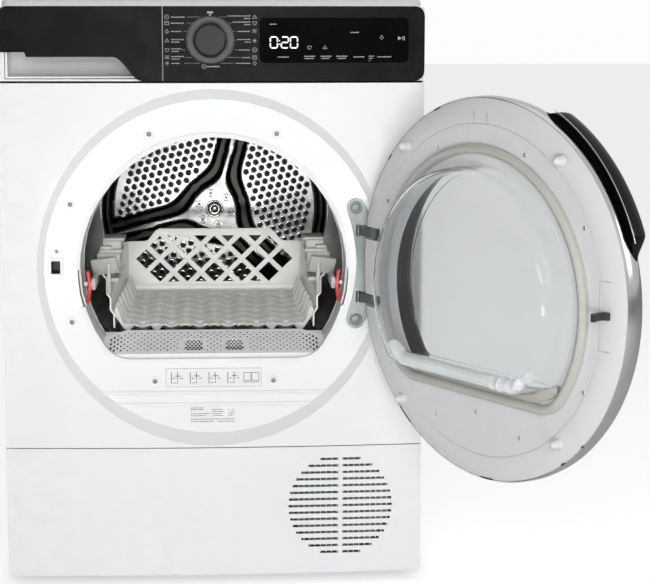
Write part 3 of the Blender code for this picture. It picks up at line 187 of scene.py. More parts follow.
# ---- shader groups ------------------------------------------------------------------------------
def new_group(name, inputs, outputs):
    group = bpy.data.node_groups.new(name, "ShaderNodeTree")
    for label, kind, value in inputs:
        socket = group.interface.new_socket(label, in_out="INPUT", socket_type=kind)
        socket.default_value = value
    for label, kind in outputs:
        group.interface.new_socket(label, in_out="OUTPUT", socket_type=kind)
    source = group.nodes.new("NodeGroupInput")
    result = group.nodes.new("NodeGroupOutput")
    return group, source, result


def node(tree, kind, **values):
    made = tree.nodes.new(kind)
    for key, value in values.items():
        setattr(made, key, value)
    return made


def feed(tree, target, *sources):
    """Link each source, or set it where it's a plain number, into the target's inputs in order."""
    for socket, source in zip(target.inputs, sources):
        if source is None:
            continue
        if isinstance(source, (int, float, tuple)):
            socket.default_value = source
        else:
            tree.links.new(source, socket)
    return target.outputs[0]


def maths(tree, operation, *sources):
    return feed(tree, node(tree, "ShaderNodeMath", operation=operation), *sources)


def ramp(tree, source, low, high, out_low=0.0, out_high=1.0):
    made = node(tree, "ShaderNodeMapRange", interpolation_type="SMOOTHSTEP")
    return feed(tree, made, source, low, high, out_low, out_high)


def seen_ray(tree, ray):
    """1 for rays that reach the viewer straight or through glass."""
    return maths(tree, "MAXIMUM", ray.outputs["Is Camera Ray"], ray.outputs["Is Transmission Ray"])


def object_place(tree):
    return node(tree, "ShaderNodeTexCoord").outputs["Object"]


def noise(tree, place, scale, detail):
    """Noise over a place; scale is a number or a socket."""
    made = node(tree, "ShaderNodeTexNoise")
    made.inputs["Detail"].default_value = detail
    tree.links.new(place, made.inputs["Vector"])
    if isinstance(scale, float):
        made.inputs["Scale"].default_value = scale
    else:
        tree.links.new(scale, made.inputs["Scale"])
    return made.outputs["Fac"]


def shaded(tree, colour, shade):
    """A colour made lighter or darker by a number."""
    made = node(tree, "ShaderNodeVectorMath", operation="SCALE")
    tree.links.new(colour, made.inputs[0])
    tree.links.new(shade, made.inputs["Scale"])
    return made.outputs["Vector"]


FLOAT, COLOUR = "NodeSocketFloat", "NodeSocketColor"


def build_grain_group():
    """Fine surface grain, with slow mottling and a little handling haze."""
    group, source, result = new_group(
        "moulded_grain",
        [("Colour", COLOUR, (0.8, 0.8, 0.8, 1)), ("Scale", FLOAT, 900.0), ("Mottle", FLOAT, 0.03),
         ("Roughness", FLOAT, 0.4), ("Haze", FLOAT, 0.08)],
        [("Colour", COLOUR), ("Roughness", FLOAT), ("Height", FLOAT)])
    place = object_place(group)
    fine = noise(group, place, source.outputs["Scale"], 2.0)
    slow = noise(group, place, 5.0, 4.0)
    haze = noise(group, place, 34.0, 5.0)
    swing = maths(group, "MULTIPLY", maths(group, "SUBTRACT", slow, 0.5), source.outputs["Mottle"])
    speck = maths(group, "MULTIPLY", maths(group, "SUBTRACT", fine, 0.5), source.outputs["Mottle"])
    shade = maths(group, "ADD", maths(group, "ADD", swing, speck), 1.0)
    group.links.new(shaded(group, source.outputs["Colour"], shade), result.inputs["Colour"])
    film = maths(group, "MULTIPLY", ramp(group, haze, 0.42, 0.72), source.outputs["Haze"])
    group.links.new(maths(group, "ADD", source.outputs["Roughness"], film), result.inputs["Roughness"])
    group.links.new(fine, result.inputs["Height"])
    return group


def build_rub_group():
    """Paler, rubbed edges and dust settled in corners, as masks from the shape of the surface."""
    group, source, result = new_group(
        "edges_and_dust", [("Break up", FLOAT, 40.0)],
        [("Edge", FLOAT), ("Corner", FLOAT), ("Dust", FLOAT)])
    shape = node(group, "ShaderNodeNewGeometry")
    broken = ramp(group, noise(group, object_place(group), source.outputs["Break up"], 3.0), 0.35, 0.65)
    edge = ramp(group, shape.outputs["Pointiness"], 0.52, 0.62)
    corner = ramp(group, shape.outputs["Pointiness"], 0.48, 0.40)
    group.links.new(maths(group, "MULTIPLY", edge, broken), result.inputs["Edge"])
    group.links.new(corner, result.inputs["Corner"])
    facing = node(group, "ShaderNodeSeparateXYZ")
    group.links.new(shape.outputs["Normal"], facing.inputs[0])
    upward = ramp(group, facing.outputs["Z"], 0.55, 1.0)
    group.links.new(maths(group, "MULTIPLY", upward, broken), result.inputs["Dust"])
    return group


def build_brushed_group():
    """Fine parallel polishing lines; Stretch gives their direction and length."""
    group, source, result = new_group(
        "polishing_lines",
        [("Colour", COLOUR, (0.6, 0.6, 0.6, 1)), ("Roughness", FLOAT, 0.25), ("Spread", FLOAT, 0.1),
         ("Stretch", "NodeSocketVector", (12, 900, 900))],
        [("Colour", COLOUR), ("Roughness", FLOAT), ("Height", FLOAT)])
    place = object_place(group)
    scaled = node(group, "ShaderNodeVectorMath", operation="MULTIPLY")
    group.links.new(place, scaled.inputs[0])
    group.links.new(source.outputs["Stretch"], scaled.inputs[1])
    lines = noise(group, scaled.outputs["Vector"], 1.0, 3.0)
    level = maths(group, "SUBTRACT", lines, 0.5)
    shade = maths(group, "ADD", maths(group, "MULTIPLY", level, 0.22), 1.0)
    group.links.new(shaded(group, source.outputs["Colour"], shade), result.inputs["Colour"])
    spread = source.outputs["Spread"]
    rough = maths(group, "ADD", source.outputs["Roughness"], maths(group, "MULTIPLY", level, spread))
    smear = maths(group, "MULTIPLY", ramp(group, noise(group, place, 14.0, 4.0), 0.45, 0.75), spread)
    group.links.new(maths(group, "ADD", rough, smear), result.inputs["Roughness"])
    group.links.new(lines, result.inputs["Height"])
    return group


GRAIN = build_grain_group()
RUB = build_rub_group()
BRUSHED = build_brushed_group()


# ---- finishes -----------------------------------------------------------------------------------
def start_finish(name):
    made = bpy.data.materials.new(name)
    made.use_nodes = True
    tree = made.node_tree
    return made, tree, tree.nodes["Principled BSDF"]


def place_group(tree, group, **values):
    made = node(tree, "ShaderNodeGroup", node_tree=group)
    for label, value in values.items():
        made.inputs[label.replace("_", " ")].default_value = value
    return made


def bump(tree, shader, height, strength, distance):
    made = node(tree, "ShaderNodeBump")
    made.inputs["Strength"].default_value = strength
    made.inputs["Distance"].default_value = distance
    tree.links.new(height, made.inputs["Height"])
    tree.links.new(made.outputs["Normal"], shader.inputs["Normal"])


def mix_colours(tree, share, first, second):
    made = node(tree, "ShaderNodeMix", data_type="RGBA")
    for socket, value in ((made.inputs[0], share), (made.inputs[6], first), (made.inputs[7], second)):
        if isinstance(value, (tuple, float)):
            socket.default_value = value
        else:
            tree.links.new(value, socket)
    return made.outputs[2]


def moulded(name, colour, roughness, grain=900.0, mottle=0.03, haze=0.08, rub=0.25, dust=0.06, height=0.04,
            depth=0.2 * MM, coat=0.0, shine=0.5, rub_colour=None, dust_colour=(0.55, 0.54, 0.52, 1)):
    """Moulded plastic, paint or rubber: grain, rubbed edges, dust in the corners."""
    made, tree, shader = start_finish(name)
    grainy = place_group(tree, GRAIN, Colour=(*colour, 1), Scale=grain, Mottle=mottle, Roughness=roughness,
                         Haze=haze)
    rubbed = place_group(tree, RUB)
    pale = rub_colour or tuple(min(1.0, c * 1.12 + 0.02) for c in colour)
    worn = mix_colours(tree, maths(tree, "MULTIPLY", rubbed.outputs["Edge"], rub), grainy.outputs["Colour"],
                       (*pale, 1))
    settled = maths(tree, "ADD", maths(tree, "MULTIPLY", rubbed.outputs["Corner"], dust),
                    maths(tree, "MULTIPLY", rubbed.outputs["Dust"], dust * 0.5))
    tree.links.new(mix_colours(tree, settled, worn, dust_colour), shader.inputs["Base Color"])
    tree.links.new(grainy.outputs["Roughness"], shader.inputs["Roughness"])
    shader.inputs["Specular IOR Level"].default_value = shine
    shader.inputs["Coat Weight"].default_value = coat
    shader.inputs["Coat Roughness"].default_value = 0.06
    bump(tree, shader, grainy.outputs["Height"], height, depth)
    return made


def polished(name, colour, roughness, spread=0.1, stretch=(12, 900, 900), height=0.05, rub=0.2):
    """Bare or plated metal with polishing lines and smudges."""
    made, tree, shader = start_finish(name)
    lined = place_group(tree, BRUSHED, Colour=(*colour, 1), Roughness=roughness, Spread=spread,
                        Stretch=stretch)
    rubbed = place_group(tree, RUB)
    grime = mix_colours(tree, maths(tree, "MULTIPLY", rubbed.outputs["Corner"], 0.35),
                        lined.outputs["Colour"], (0.10, 0.095, 0.085, 1))
    pale = tuple(min(1.0, c * 1.2) for c in colour)
    worn = mix_colours(tree, maths(tree, "MULTIPLY", rubbed.outputs["Edge"], rub), grime, (*pale, 1))
    tree.links.new(worn, shader.inputs["Base Color"])
    tree.links.new(lined.outputs["Roughness"], shader.inputs["Roughness"])
    shader.inputs["Metallic"].default_value = 1.0
    bump(tree, shader, lined.outputs["Height"], height, 0.1 * MM)
    return made


def clear(name, colour, roughness, ior):
    """See-through plastic or glass, with faint flow marks and finger haze."""
    made, tree, shader = start_finish(name)
    grainy = place_group(tree, GRAIN, Colour=(*colour, 1), Scale=60.0, Mottle=0.02, Roughness=roughness,
                         Haze=0.05)
    tree.links.new(grainy.outputs["Colour"], shader.inputs["Base Color"])
    tree.links.new(grainy.outputs["Roughness"], shader.inputs["Roughness"])
    shader.inputs["Transmission Weight"].default_value = 1.0
    shader.inputs["IOR"].default_value = ior
    bump(tree, shader, grainy.outputs["Height"], 0.03, 0.4 * MM)
    return made


def glowing(name, colour, strength):
    made, tree, shader = start_finish(name)
    level = ramp(tree, noise(tree, object_place(tree), 300.0, 2.0), 0.3, 0.7)
    dim = tuple(c * 0.82 for c in colour)
    light = mix_colours(tree, level, (*dim, 1), (*colour, 1))
    tree.links.new(light, shader.inputs["Emission Color"])
    tree.links.new(light, shader.inputs["Base Color"])
    shader.inputs["Emission Strength"].default_value = strength
    return made


UNWORN = {"rub": 0.0, "dust": 0.0}


def floor_finish():
    made = moulded("studio_floor_paint", (0.94, 0.94, 0.94), 0.85, grain=40.0, mottle=0.01, haze=0.0,
                   height=0.0, **UNWORN)
    tree = made.node_tree
    shader = tree.nodes["Principled BSDF"]
    seen = seen_ray(tree, node(tree, "ShaderNodeLightPath"))
    shader.inputs["Emission Color"].default_value = (1, 1, 1, 1)
    tree.links.new(maths(tree, "MULTIPLY", seen, FLOOR_GLOW), shader.inputs["Emission Strength"])
    return made


def worn_black(rub, dust=None):
    """Paler edges and dust for a black finish."""
    return {"rub_colour": (rub, rub, rub), "dust_colour": dust or (rub, rub, rub, 1)}


def build_finishes():
    return {
        "white_paint": moulded("white_enamel", (0.84, 0.85, 0.86), 0.30, grain=420.0, mottle=0.015,
                               height=0.05, depth=0.12 * MM, coat=0.25),
        "worktop_board": moulded("worktop_laminate", (0.86, 0.87, 0.88), 0.34, grain=700.0, mottle=0.02,
                                 height=0.06),
        "white_plastic": moulded("white_moulding", (0.82, 0.83, 0.84), 0.38),
        "door_plastic": moulded("door_moulding", (0.70, 0.71, 0.72), 0.36),
        "grey_plastic": moulded("grey_moulding", (0.60, 0.60, 0.59), 0.42, mottle=0.04),
        "rack_plastic": moulded("rack_moulding", (0.86, 0.85, 0.82), 0.36, mottle=0.04),
        "dial_ring": moulded("dial_ring_moulding", (0.055, 0.056, 0.058), 0.45, mottle=0.06),
        "dark_plastic": moulded("black_moulding", (0.022, 0.022, 0.024), 0.42, mottle=0.10,
                                **worn_black(0.09, (0.16, 0.155, 0.15, 1))),
        "knob_plastic": moulded("knob_moulding", (0.006, 0.006, 0.0065), 0.30, mottle=0.10, shine=0.3,
                                **worn_black(0.05)),
        "gloss_black": moulded("piano_black", (0.004, 0.004, 0.0045), 0.06, mottle=0.10, haze=0.03,
                               height=0.01, shine=0.22, **worn_black(0.03, (0.02, 0.02, 0.02, 1))),
        "fascia_black": moulded("panel_black", (0.0065, 0.0065, 0.007), 0.22, mottle=0.10, haze=0.05,
                                height=0.02, shine=0.10, **worn_black(0.03, (0.02, 0.02, 0.02, 1))),
        "display_black": moulded("display_black", (0.0015, 0.0015, 0.002), 0.12, mottle=0.10, haze=0.03,
                                 height=0.01, shine=0.05, **worn_black(0.01)),
        "smoked_glass": clear("smoked_window", (0.77, 0.78, 0.785), 0.20, 1.30),
        "clear_plastic": clear("clear_bowl", (0.955, 0.965, 0.97), 0.015, 1.22),
        "stainless_steel": polished("drum_steel", (0.52, 0.515, 0.505), 0.24, spread=0.12,
                                    stretch=(700, 10, 700)),
        "wall_steel": polished("pressed_drum_steel", (0.24, 0.238, 0.232), 0.25, spread=0.10,
                               stretch=(60, 60, 60), height=0.03),
        "zinc_steel": polished("zinc_plate", (0.19, 0.205, 0.20), 0.42, spread=0.16, stretch=(90, 90, 90),
                               height=0.08),
        "chromed_rim": polished("rim_plating", (0.62, 0.625, 0.63), 0.16, spread=0.08,
                                stretch=(40, 400, 40)),
        "seal_rubber": moulded("seal_rubber", (0.50, 0.495, 0.465), 0.50, grain=1200.0, mottle=0.05),
        "black_rubber": moulded("black_rubber", (0.018, 0.018, 0.018), 0.72, grain=800.0, mottle=0.15,
                                height=0.2, **worn_black(0.07, (0.20, 0.19, 0.18, 1))),
        "red_plastic": moulded("red_moulding", (0.62, 0.018, 0.014), 0.30, rub_colour=(0.75, 0.12, 0.10)),
        "aluminium": polished("cast_aluminium", (0.70, 0.70, 0.71), 0.38, spread=0.2,
                              stretch=(120, 120, 120), height=0.2),
        "felt": moulded("felt_band", (0.30, 0.29, 0.27), 0.95, grain=1500.0, mottle=0.4, height=0.9,
                        depth=0.8 * MM),
        "circuit_board": moulded("board_lacquer", (0.02, 0.10, 0.045), 0.35, grain=200.0, mottle=0.3),
        "ink": moulded("pale_ink", (0.42, 0.42, 0.42), 0.5, grain=600.0, mottle=0.1, **UNWORN),
        "display_light": glowing("display_light", (0.95, 0.97, 1.0), 0.9),
        "paper": moulded("label_paper", (0.83, 0.84, 0.84), 0.55, grain=1500.0, mottle=0.05, height=0.15),
        "label_ink": moulded("label_ink", (0.06, 0.06, 0.07), 0.6, mottle=0.2, **UNWORN),
        # lighter copy of the drum's pressed steel: painted highlight on the hole rims and hub studs
        "steel_painted_highlight": polished("pressed_steel_painted_highlight", (0.60, 0.595, 0.585), 0.18, spread=0.06,
                                 stretch=(60, 60, 60), height=0.02),
        # near-black copy of the drum's pressed steel: painted shade in the grooves of the drum's back
        "steel_painted_groove_shade": polished("steel_painted_groove_shade", (0.022, 0.021, 0.019), 0.30, spread=0.05,
                                 stretch=(60, 60, 60), height=0.02),
        # darker copy of the rack plastic: painted shade on the rack's hooks
        "hook_plastic_painted_shade": moulded("hook_moulding_painted_shade", (0.47, 0.465, 0.445), 0.34, mottle=0.05),
        # brighter copy of the white plastic: painted light on the filter deck, standing for light bounced onto it
        "filter_white_painted_light": moulded("filter_moulding_painted_light", (0.95, 0.955, 0.96), 0.34),
        # near-black: painted shade in the drum's holes, the tray's drain holes and the filter's wells; also the
        # black frame behind the door's bowl
        "hole_dark": moulded("hole_shadow", (0.008, 0.008, 0.008), 0.6, mottle=0.2, **UNWORN),
        # the filter's mesh, drawn near-black as painted shade seen through the deck's holes
        "mesh_dark": moulded("mesh_shadow", (0.05, 0.05, 0.05), 0.7, mottle=0.2, **UNWORN),
        "slot_dark": moulded("slot_shadow", (0.30, 0.27, 0.22), 0.7, mottle=0.1, **UNWORN),
        "seam_grey": moulded("seam_shade", (0.36, 0.37, 0.38), 0.5, mottle=0.1, **UNWORN),
        # opaque pale grey for the bowl's clear ledge: painted light for the brightness seen in thick clear plastic
        "ledge_painted_light": moulded("ledge_moulding_painted_light", (0.74, 0.755, 0.76), 0.12, mottle=0.06, coat=0.8),
        "label_red": moulded("label_red", (0.55, 0.03, 0.03), 0.6, mottle=0.1, **UNWORN),
    }


FINISH = build_finishes()


def paint_nodes():
    """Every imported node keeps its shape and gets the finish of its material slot."""
    special = {"programme_knob": "knob_plastic", "knob_ring": "dial_ring", "fascia": "fascia_black",
               "drawer_front": "fascia_black", "display_lens": "display_black",
               "door_inner_plate": "door_plastic",
               "drying_rack": "rack_plastic", "drum_rear_wall": "wall_steel", "drum_spider": "wall_steel",
               "drum_hub": "wall_steel"}
    for entry in frame["record"]["subparts"]:
        name = entry["node"]
        mesh = frame["nodes"][name].data
        mesh.materials.clear()
        mesh.materials.append(FINISH[special.get(name, entry["material_slot"])])


# ---- shaping helpers ----------------------------------------------------------------------------
def add_piece(name, made_of, finish, body, hides=(), smooth=35):
    """Put a mesh or a bmesh on its body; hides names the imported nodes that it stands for."""
    mesh = made_of if isinstance(made_of, bpy.types.Mesh) else mesh_of(name, made_of)
    made = bpy.data.objects.new(name, mesh)
    bpy.context.scene.collection.objects.link(made)
    mesh.materials.clear()
    mesh.materials.append(FINISH[finish])
    mesh.shade_smooth()
    mesh.set_sharp_from_angle(angle=math.radians(smooth))
    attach(made, body)
    if hides:
        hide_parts(*hides)
    return made


def mesh_of(name, shape):
    bmesh.ops.remove_doubles(shape, verts=shape.verts, dist=1e-6)
    bmesh.ops.recalc_face_normals(shape, faces=shape.faces)
    mesh = bpy.data.meshes.new(name)
    shape.to_mesh(mesh)
    shape.free()
    return mesh


def circle(cx, cz, radius, sides):
    turns = [math.tau * i / sides for i in range(sides)]
    return [(cx + radius * math.cos(a), cz + radius * math.sin(a)) for a in turns]


def arc(cx, cz, radius, start, end, count):
    step = (end - start) / count
    return [(cx + radius * math.cos(start + i * step), cz + radius * math.sin(start + i * step))
            for i in range(count + 1)]


def mouth(offset, count=90, fillet_count=14, flat_count=24):
    """The loading opening's outline, grown by an offset: a circle, a flat bottom and two fillets."""
    radius, flat, fillet = MOUTH_R + offset, MOUTH_FLAT - offset, MOUTH_FILLET + offset
    rise = flat + fillet - MOUTH_Z
    reach = math.sqrt((radius - fillet) ** 2 - rise ** 2)
    turn = math.atan2(rise, reach)
    right = arc(reach, flat + fillet, fillet, -math.pi / 2, turn, fillet_count)
    top = arc(0, MOUTH_Z, radius, turn, math.pi - turn, count)
    left = arc(-reach, flat + fillet, fillet, math.pi - turn, 3 * math.pi / 2, fillet_count)
    base = [(-reach + 2 * reach * i / flat_count, flat) for i in range(1, flat_count)]
    return right + top[1:-1] + left + base


def skin_loops(shape, loops, closed=True):
    """Faces between successive loops of points; closed joins each loop's ends."""
    rows = [[shape.verts.new(point) for point in loop] for loop in loops]
    for first, second in zip(rows, rows[1:]):
        count = len(first) if closed else len(first) - 1
        for i in range(count):
            j = (i + 1) % len(first)
            shape.faces.new((first[i], first[j], second[j], second[i]))
    return rows


def turned(profile, place, steps=96, closed=False, start=0.0, end=math.tau):
    """A (radius, height) profile turned about a line along +Y through place."""
    shape = bmesh.new()
    whole = abs(end - start) > math.tau - 1e-6
    count = steps if whole else steps + 1
    loops = []
    for radius, height in (list(profile) + [profile[0]] if closed else profile):
        loop = []
        for i in range(count):
            angle = start + (end - start) * i / steps
            loop.append((place[0] + radius * math.cos(angle), place[1] + height,
                         place[2] + radius * math.sin(angle)))
        loops.append(loop)
    skin_loops(shape, loops, closed=whole)
    bmesh.ops.remove_doubles(shape, verts=shape.verts, dist=1e-6)
    return shape


def flat_solid(name, loops, start, end, axis="Y"):
    """A flat outline with holes, made thick along an axis. Loops are XZ for Y, XY for Z and YZ for X."""
    curve = bpy.data.curves.new(name, "CURVE")
    curve.dimensions = "2D"
    curve.fill_mode = "BOTH"
    curve.extrude = abs(end - start) / 2
    for loop in loops:
        spline = curve.splines.new("POLY")
        spline.points.add(len(loop) - 1)
        for point, (u, v) in zip(spline.points, loop):
            point.co = (u, v, 0, 1)
        spline.use_cyclic_u = True
    drawn = bpy.data.objects.new(name + "_outline", curve)
    bpy.context.scene.collection.objects.link(drawn)
    graph = bpy.context.evaluated_depsgraph_get()
    mesh = bpy.data.meshes.new_from_object(drawn.evaluated_get(graph))
    bpy.data.objects.remove(drawn, do_unlink=True)
    turn = {"Y": Matrix.Rotation(math.pi / 2, 4, "X"), "Z": Matrix.Identity(4),
            "X": Matrix(((0, 0, 1, 0), (1, 0, 0, 0), (0, 1, 0, 0), (0, 0, 0, 1)))}[axis]
    middle = Vector({"X": (1, 0, 0), "Y": (0, 1, 0), "Z": (0, 0, 1)}[axis]) * ((start + end) / 2)
    shape = bmesh.new()
    shape.from_mesh(mesh)
    bpy.data.meshes.remove(mesh)
    bmesh.ops.transform(shape, matrix=Matrix.Translation(middle) @ turn, verts=shape.verts)
    bmesh.ops.remove_doubles(shape, verts=shape.verts, dist=1e-6)
    bmesh.ops.dissolve_limit(shape, angle_limit=0.001, verts=shape.verts, edges=shape.edges)
    return shape


def changed(mesh, *steps):
    """A mesh after some modifiers, each given as (kind, values)."""
    holder = bpy.data.objects.new("work", mesh)
    bpy.context.scene.collection.objects.link(holder)
    for kind, values in steps:
        step = holder.modifiers.new(kind.lower(), kind)
        for key, value in values.items():
            setattr(step, key, value)
    graph = bpy.context.evaluated_depsgraph_get()
    made = bpy.data.meshes.new_from_object(holder.evaluated_get(graph))
    made.name = mesh.name
    bpy.data.objects.remove(holder, do_unlink=True)
    return made


def rounded(mesh, width, segments=2, angle=35):
    return changed(mesh, ("BEVEL", {"width": width, "segments": segments, "limit_method": "ANGLE",
                                    "angle_limit": math.radians(angle), "harden_normals": False}))


def carved(mesh, *cutters):
    """Cut meshes out of a mesh."""
    holders = []
    steps = []
    for cutter in cutters:
        holder = bpy.data.objects.new("cutter", cutter)
        bpy.context.scene.collection.objects.link(holder)
        holders.append(holder)
        steps.append(("BOOLEAN", {"operation": "DIFFERENCE", "solver": "EXACT", "object": holder}))
    made = changed(mesh, *steps)
    for holder in holders:
        bpy.data.objects.remove(holder, do_unlink=True)
    return made


def box_mesh(name, low, high):
    low, high = Vector(low), Vector(high)
    shape = bmesh.new()
    matrix = Matrix.Translation((low + high) / 2) @ Matrix.Diagonal((*(high - low), 1))
    bmesh.ops.create_cube(shape, size=1, matrix=matrix)
    return mesh_of(name, shape)


def add_box(shape, low, high):
    """A box between two corners, added to a shape."""
    mesh = box_mesh("box", low, high)
    shape.from_mesh(mesh)
    bpy.data.meshes.remove(mesh)


def facing_ring(shape, x, z, y, outward, profile, sides=24):
    """A small turned shape, its profile in mm; outward is +1 where it faces +Y and -1 where it faces -Y."""
    return skin_loops(shape, [[(px, y + outward * rise * MM, pz) for px,
                               pz in circle(x, z, radius * MM, sides)]
                              for radius, rise in profile])


# ---- printed marks ------------------------------------------------------------------------------
PRINT_T = 0.15 * MM


class Marks:
    """Thin printed marks that follow the swelling front: bars, lines and simple outlines."""

    def __init__(self, lift):
        self.shape = bmesh.new()
        self.lift = lift

    def patch(self, corners):
        """A thin closed patch from corners in (x, z), listed around it."""
        front = [self.shape.verts.new((x, skin_y(x, self.lift + PRINT_T), z)) for x, z in corners]
        back = [self.shape.verts.new((x, skin_y(x, self.lift), z)) for x, z in corners]
        self.shape.faces.new(front)
        self.shape.faces.new(list(reversed(back)))
        for i in range(len(front)):
            j = (i + 1) % len(front)
            self.shape.faces.new((front[i], back[i], back[j], front[j]))

    def bar(self, x0, x1, z, height):
        self.patch([(x0, z - height / 2), (x1, z - height / 2), (x1, z + height / 2), (x0, z + height / 2)])

    def line(self, points, width, closed=False):
        count = len(points) if closed else len(points) - 1
        for i in range(count):
            a, b = Vector(points[i]), Vector(points[(i + 1) % len(points)])
            along = (b - a).normalized() * width / 2
            side = Vector((-along.y, along.x))
            a, b = a - along * 0.6, b + along * 0.6
            self.patch([tuple(a - side), tuple(b - side), tuple(b + side), tuple(a + side)])

    def words(self, x0, x1, z, height):
        """A line of blank wording: short bars of uneven length, with no letters in it."""
        x, k = x0, 0
        while x < x1 - height:
            width = min(height * (0.9, 0.6, 1.3, 0.8, 1.1)[k % 5], x1 - x)
            tall = height * (0.62, 0.9, 0.6, 0.75)[k % 4]
            self.bar(x, x + width, z - (height - tall) / 2, tall)
            x += width + height * 0.22
            k += 1

    def place(self, name, finish, body, slot):
        return add_piece(name, mesh_of(name, self.shape), finish, body)


# each row by the knob, in mm from its middle: height, widths of one or two lines, leader from and to
LEFT_ROWS = ((31.7, 20.4, 0, -32.0, -14.8), (23.3, 19.2, 0, -32.4, -24.3), (11.9, 15.8, 0, -37.1, -32.0),
             (-0.9, 18.1, 12.4, 0, 0), (-13.7, 14.1, 12.1, -40.1, -34.6), (-24.3, 19.4, 12.4, -34.6, -25.0),
             (-32.2, 12.4, 0, -36.5, -13.7))
RIGHT_ROWS = ((31.7, 32.7, 9.3, 14.6, 21.7), (23.3, 25.3, 9.3, 24.2, 30.2), (11.9, 19.2, 0, 31.2, 35.1),
              (-0.9, 19.9, 8.7, 34.2, 35.7), (-13.7, 17.4, 0, 34.4, 38.3), (-24.3, 12.5, 0, 23.8, 42.1),
              (-32.2, 21.5, 0, 13.6, 32.3))


def symbol(marks, x, z, kind):
    """Plain symbols: ring, square, drop, peak, cup, wave, star; their points are shares of its size."""
    r, w = 2.9 * MM, 0.55 * MM

    def stroke(points, closed=False):
        marks.line([(x + r * u, z + r * v) for u, v in points], w, closed)
    if kind % 7 == 0:
        stroke(circle(0, 0, 1, 16), True)
        stroke([(-0.4, 0), (0.4, 0)])
    elif kind % 7 == 1:
        stroke([(-1, -0.8), (1, -0.8), (1, 0.8), (-1, 0.8)], True)
        stroke([(-0.5, 0.2), (0.5, 0.2)])
    elif kind % 7 == 2:
        stroke([(0, 1), (0.8, -0.2), (0, -1), (-0.8, -0.2)], True)
    elif kind % 7 == 3:
        stroke([(-1, -0.6), (0, 0.9), (1, -0.6)], True)
    elif kind % 7 == 4:
        stroke([(-1, 0.6), (1, 0.6), (0.5, -0.8), (-0.5, -0.8)], True)
    elif kind % 7 == 5:
        for v in (-0.5, 0.1, 0.7):
            stroke([(-1, v), (-0.3, v + 0.25), (0.3, v - 0.1), (1, v + 0.2)])
    else:
        for a in (0, math.pi / 3, 2 * math.pi / 3):
            stroke([(-math.cos(a), -math.sin(a)), (math.cos(a), math.sin(a))])


def print_fascia():
    marks = Marks(0.05 * MM)
    text = 1.55 * MM
    for side, rows, icon_x, text_x in ((-1, LEFT_ROWS, -60.1, -54.4), (1, RIGHT_ROWS, 61.7, 56.5)):
        for k, (dz, first, second, lead_a, lead_b) in enumerate(rows):
            z = KNOB_Z + dz * MM
            symbol(marks, KNOB_X + icon_x * MM, z, k + (0 if side < 0 else 3))
            line_z = [z] if not second else [z + 1.6 * MM, z - 1.9 * MM]
            for width, height in zip((first, second), line_z):
                near = KNOB_X + text_x * MM
                far = near - side * width * MM
                marks.words(min(near, far), max(near, far), height, text)
            if lead_a != lead_b:
                marks.bar(KNOB_X + lead_a * MM, KNOB_X + lead_b * MM, z, 0.35 * MM)
    for x0, x1 in ((-14.8, -13.0), (14.6, 12.8)):
        marks.line([(KNOB_X + x0 * MM, KNOB_Z + 31.7 * MM), (KNOB_X + x1 * MM, KNOB_Z + 30.4 * MM)],
                   0.35 * MM)
    marks.bar(KNOB_X - 4.2 * MM, KNOB_X + 4.2 * MM, KNOB_Z + 38.0 * MM, 2.4 * MM)
    marks.bar(KNOB_X - 1.1 * MM, KNOB_X + 1.1 * MM, KNOB_Z + 34.8 * MM, 2.2 * MM)
    symbol(marks, KNOB_X - 8.8 * MM, KNOB_Z - 36.8 * MM, 0)
    marks.words(KNOB_X - 4.8 * MM, KNOB_X + 13.5 * MM, KNOB_Z - 36.6 * MM, 1.9 * MM)
    marks.place("dial_print", "ink", "cabinet", "gloss_black")


def seven_segment(marks, x, z, width, height, stroke, lit):
    """One digit: lit names its bars, 0 top, 1 and 2 upper, 3 middle, 4 and 5 lower, 6 foot."""
    half, inset, nib = height / 2, stroke * 0.35, stroke / 2
    for k, level in {0: z + half, 3: z, 6: z - half}.items():
        if k in lit:
            a, b = x + inset, x + width - inset
            marks.patch([(a, level), (a + nib, level - nib), (b - nib, level - nib), (b, level),
                         (b - nib, level + nib), (a + nib, level + nib)])
    for k, (side, low) in {1: (0, 0), 2: (1, 0), 4: (0, 1), 5: (1, 1)}.items():
        if k in lit:
            cx = x + side * width
            z1 = z - inset if low else z + half - inset
            z0 = z - half + inset if low else z + inset
            marks.patch([(cx, z0), (cx + nib, z0 + nib), (cx + nib, z1 - nib), (cx, z1),
                         (cx - nib, z1 - nib), (cx - nib, z0 + nib)])


def light_display():
    marks = Marks(0.0)
    z, height, stroke = KNOB_Z - 3.5 * MM, 15.0 * MM, 1.7 * MM
    for x, lit in ((83.6, (0, 1, 2, 4, 5, 6)), (98.9, (0, 2, 3, 4, 6)), (111.6, (0, 1, 2, 4, 5, 6))):
        seven_segment(marks, KNOB_X + x * MM, z, 9.8 * MM, height, stroke, lit)
    for dz in (-2.4, 2.4):
        marks.bar(KNOB_X + 95.6 * MM, KNOB_X + 96.9 * MM, z + dz * MM, 1.3 * MM)
    marks.place("display_digits", "display_light", "cabinet", "gloss_black")
    small = Marks(0.05 * MM)
    for x0, x1, z in ((80, 91, 792), (91, 107, 746.5), (128, 145, 747.5), (129, 143, 744.5),
                      (151, 167, 747.5),
                      (152, 164, 744.5), (173, 190, 747.5), (175, 188, 744.5), (197, 214, 746.5),
                      (219, 228, 747.5), (219, 225, 744.5), (231, 251, 746.5), (193, 206, 780.5)):
        small.words(x0 * MM, x1 * MM, z * MM, 1.7 * MM)
    for x, z, kind in ((135.5, 759.5, 4), (157, 759.5, 3), (237, 773.5, 2)):
        symbol(small, x * MM, z * MM, kind)
    small.patch([(260 * MM, 769.5 * MM), (265 * MM, 772.2 * MM), (260 * MM, 775 * MM)])
    for x in (266.3, 268.5):
        small.bar(x * MM, (x + 1.0) * MM, 772.2 * MM, 5.4 * MM)
    small.line([(218.6 * MM, 741.6 * MM), (220 * MM, 739.8 * MM), (221.4 * MM, 741.6 * MM)], 0.4 * MM)
    small.place("display_print", "ink", "cabinet", "gloss_black")


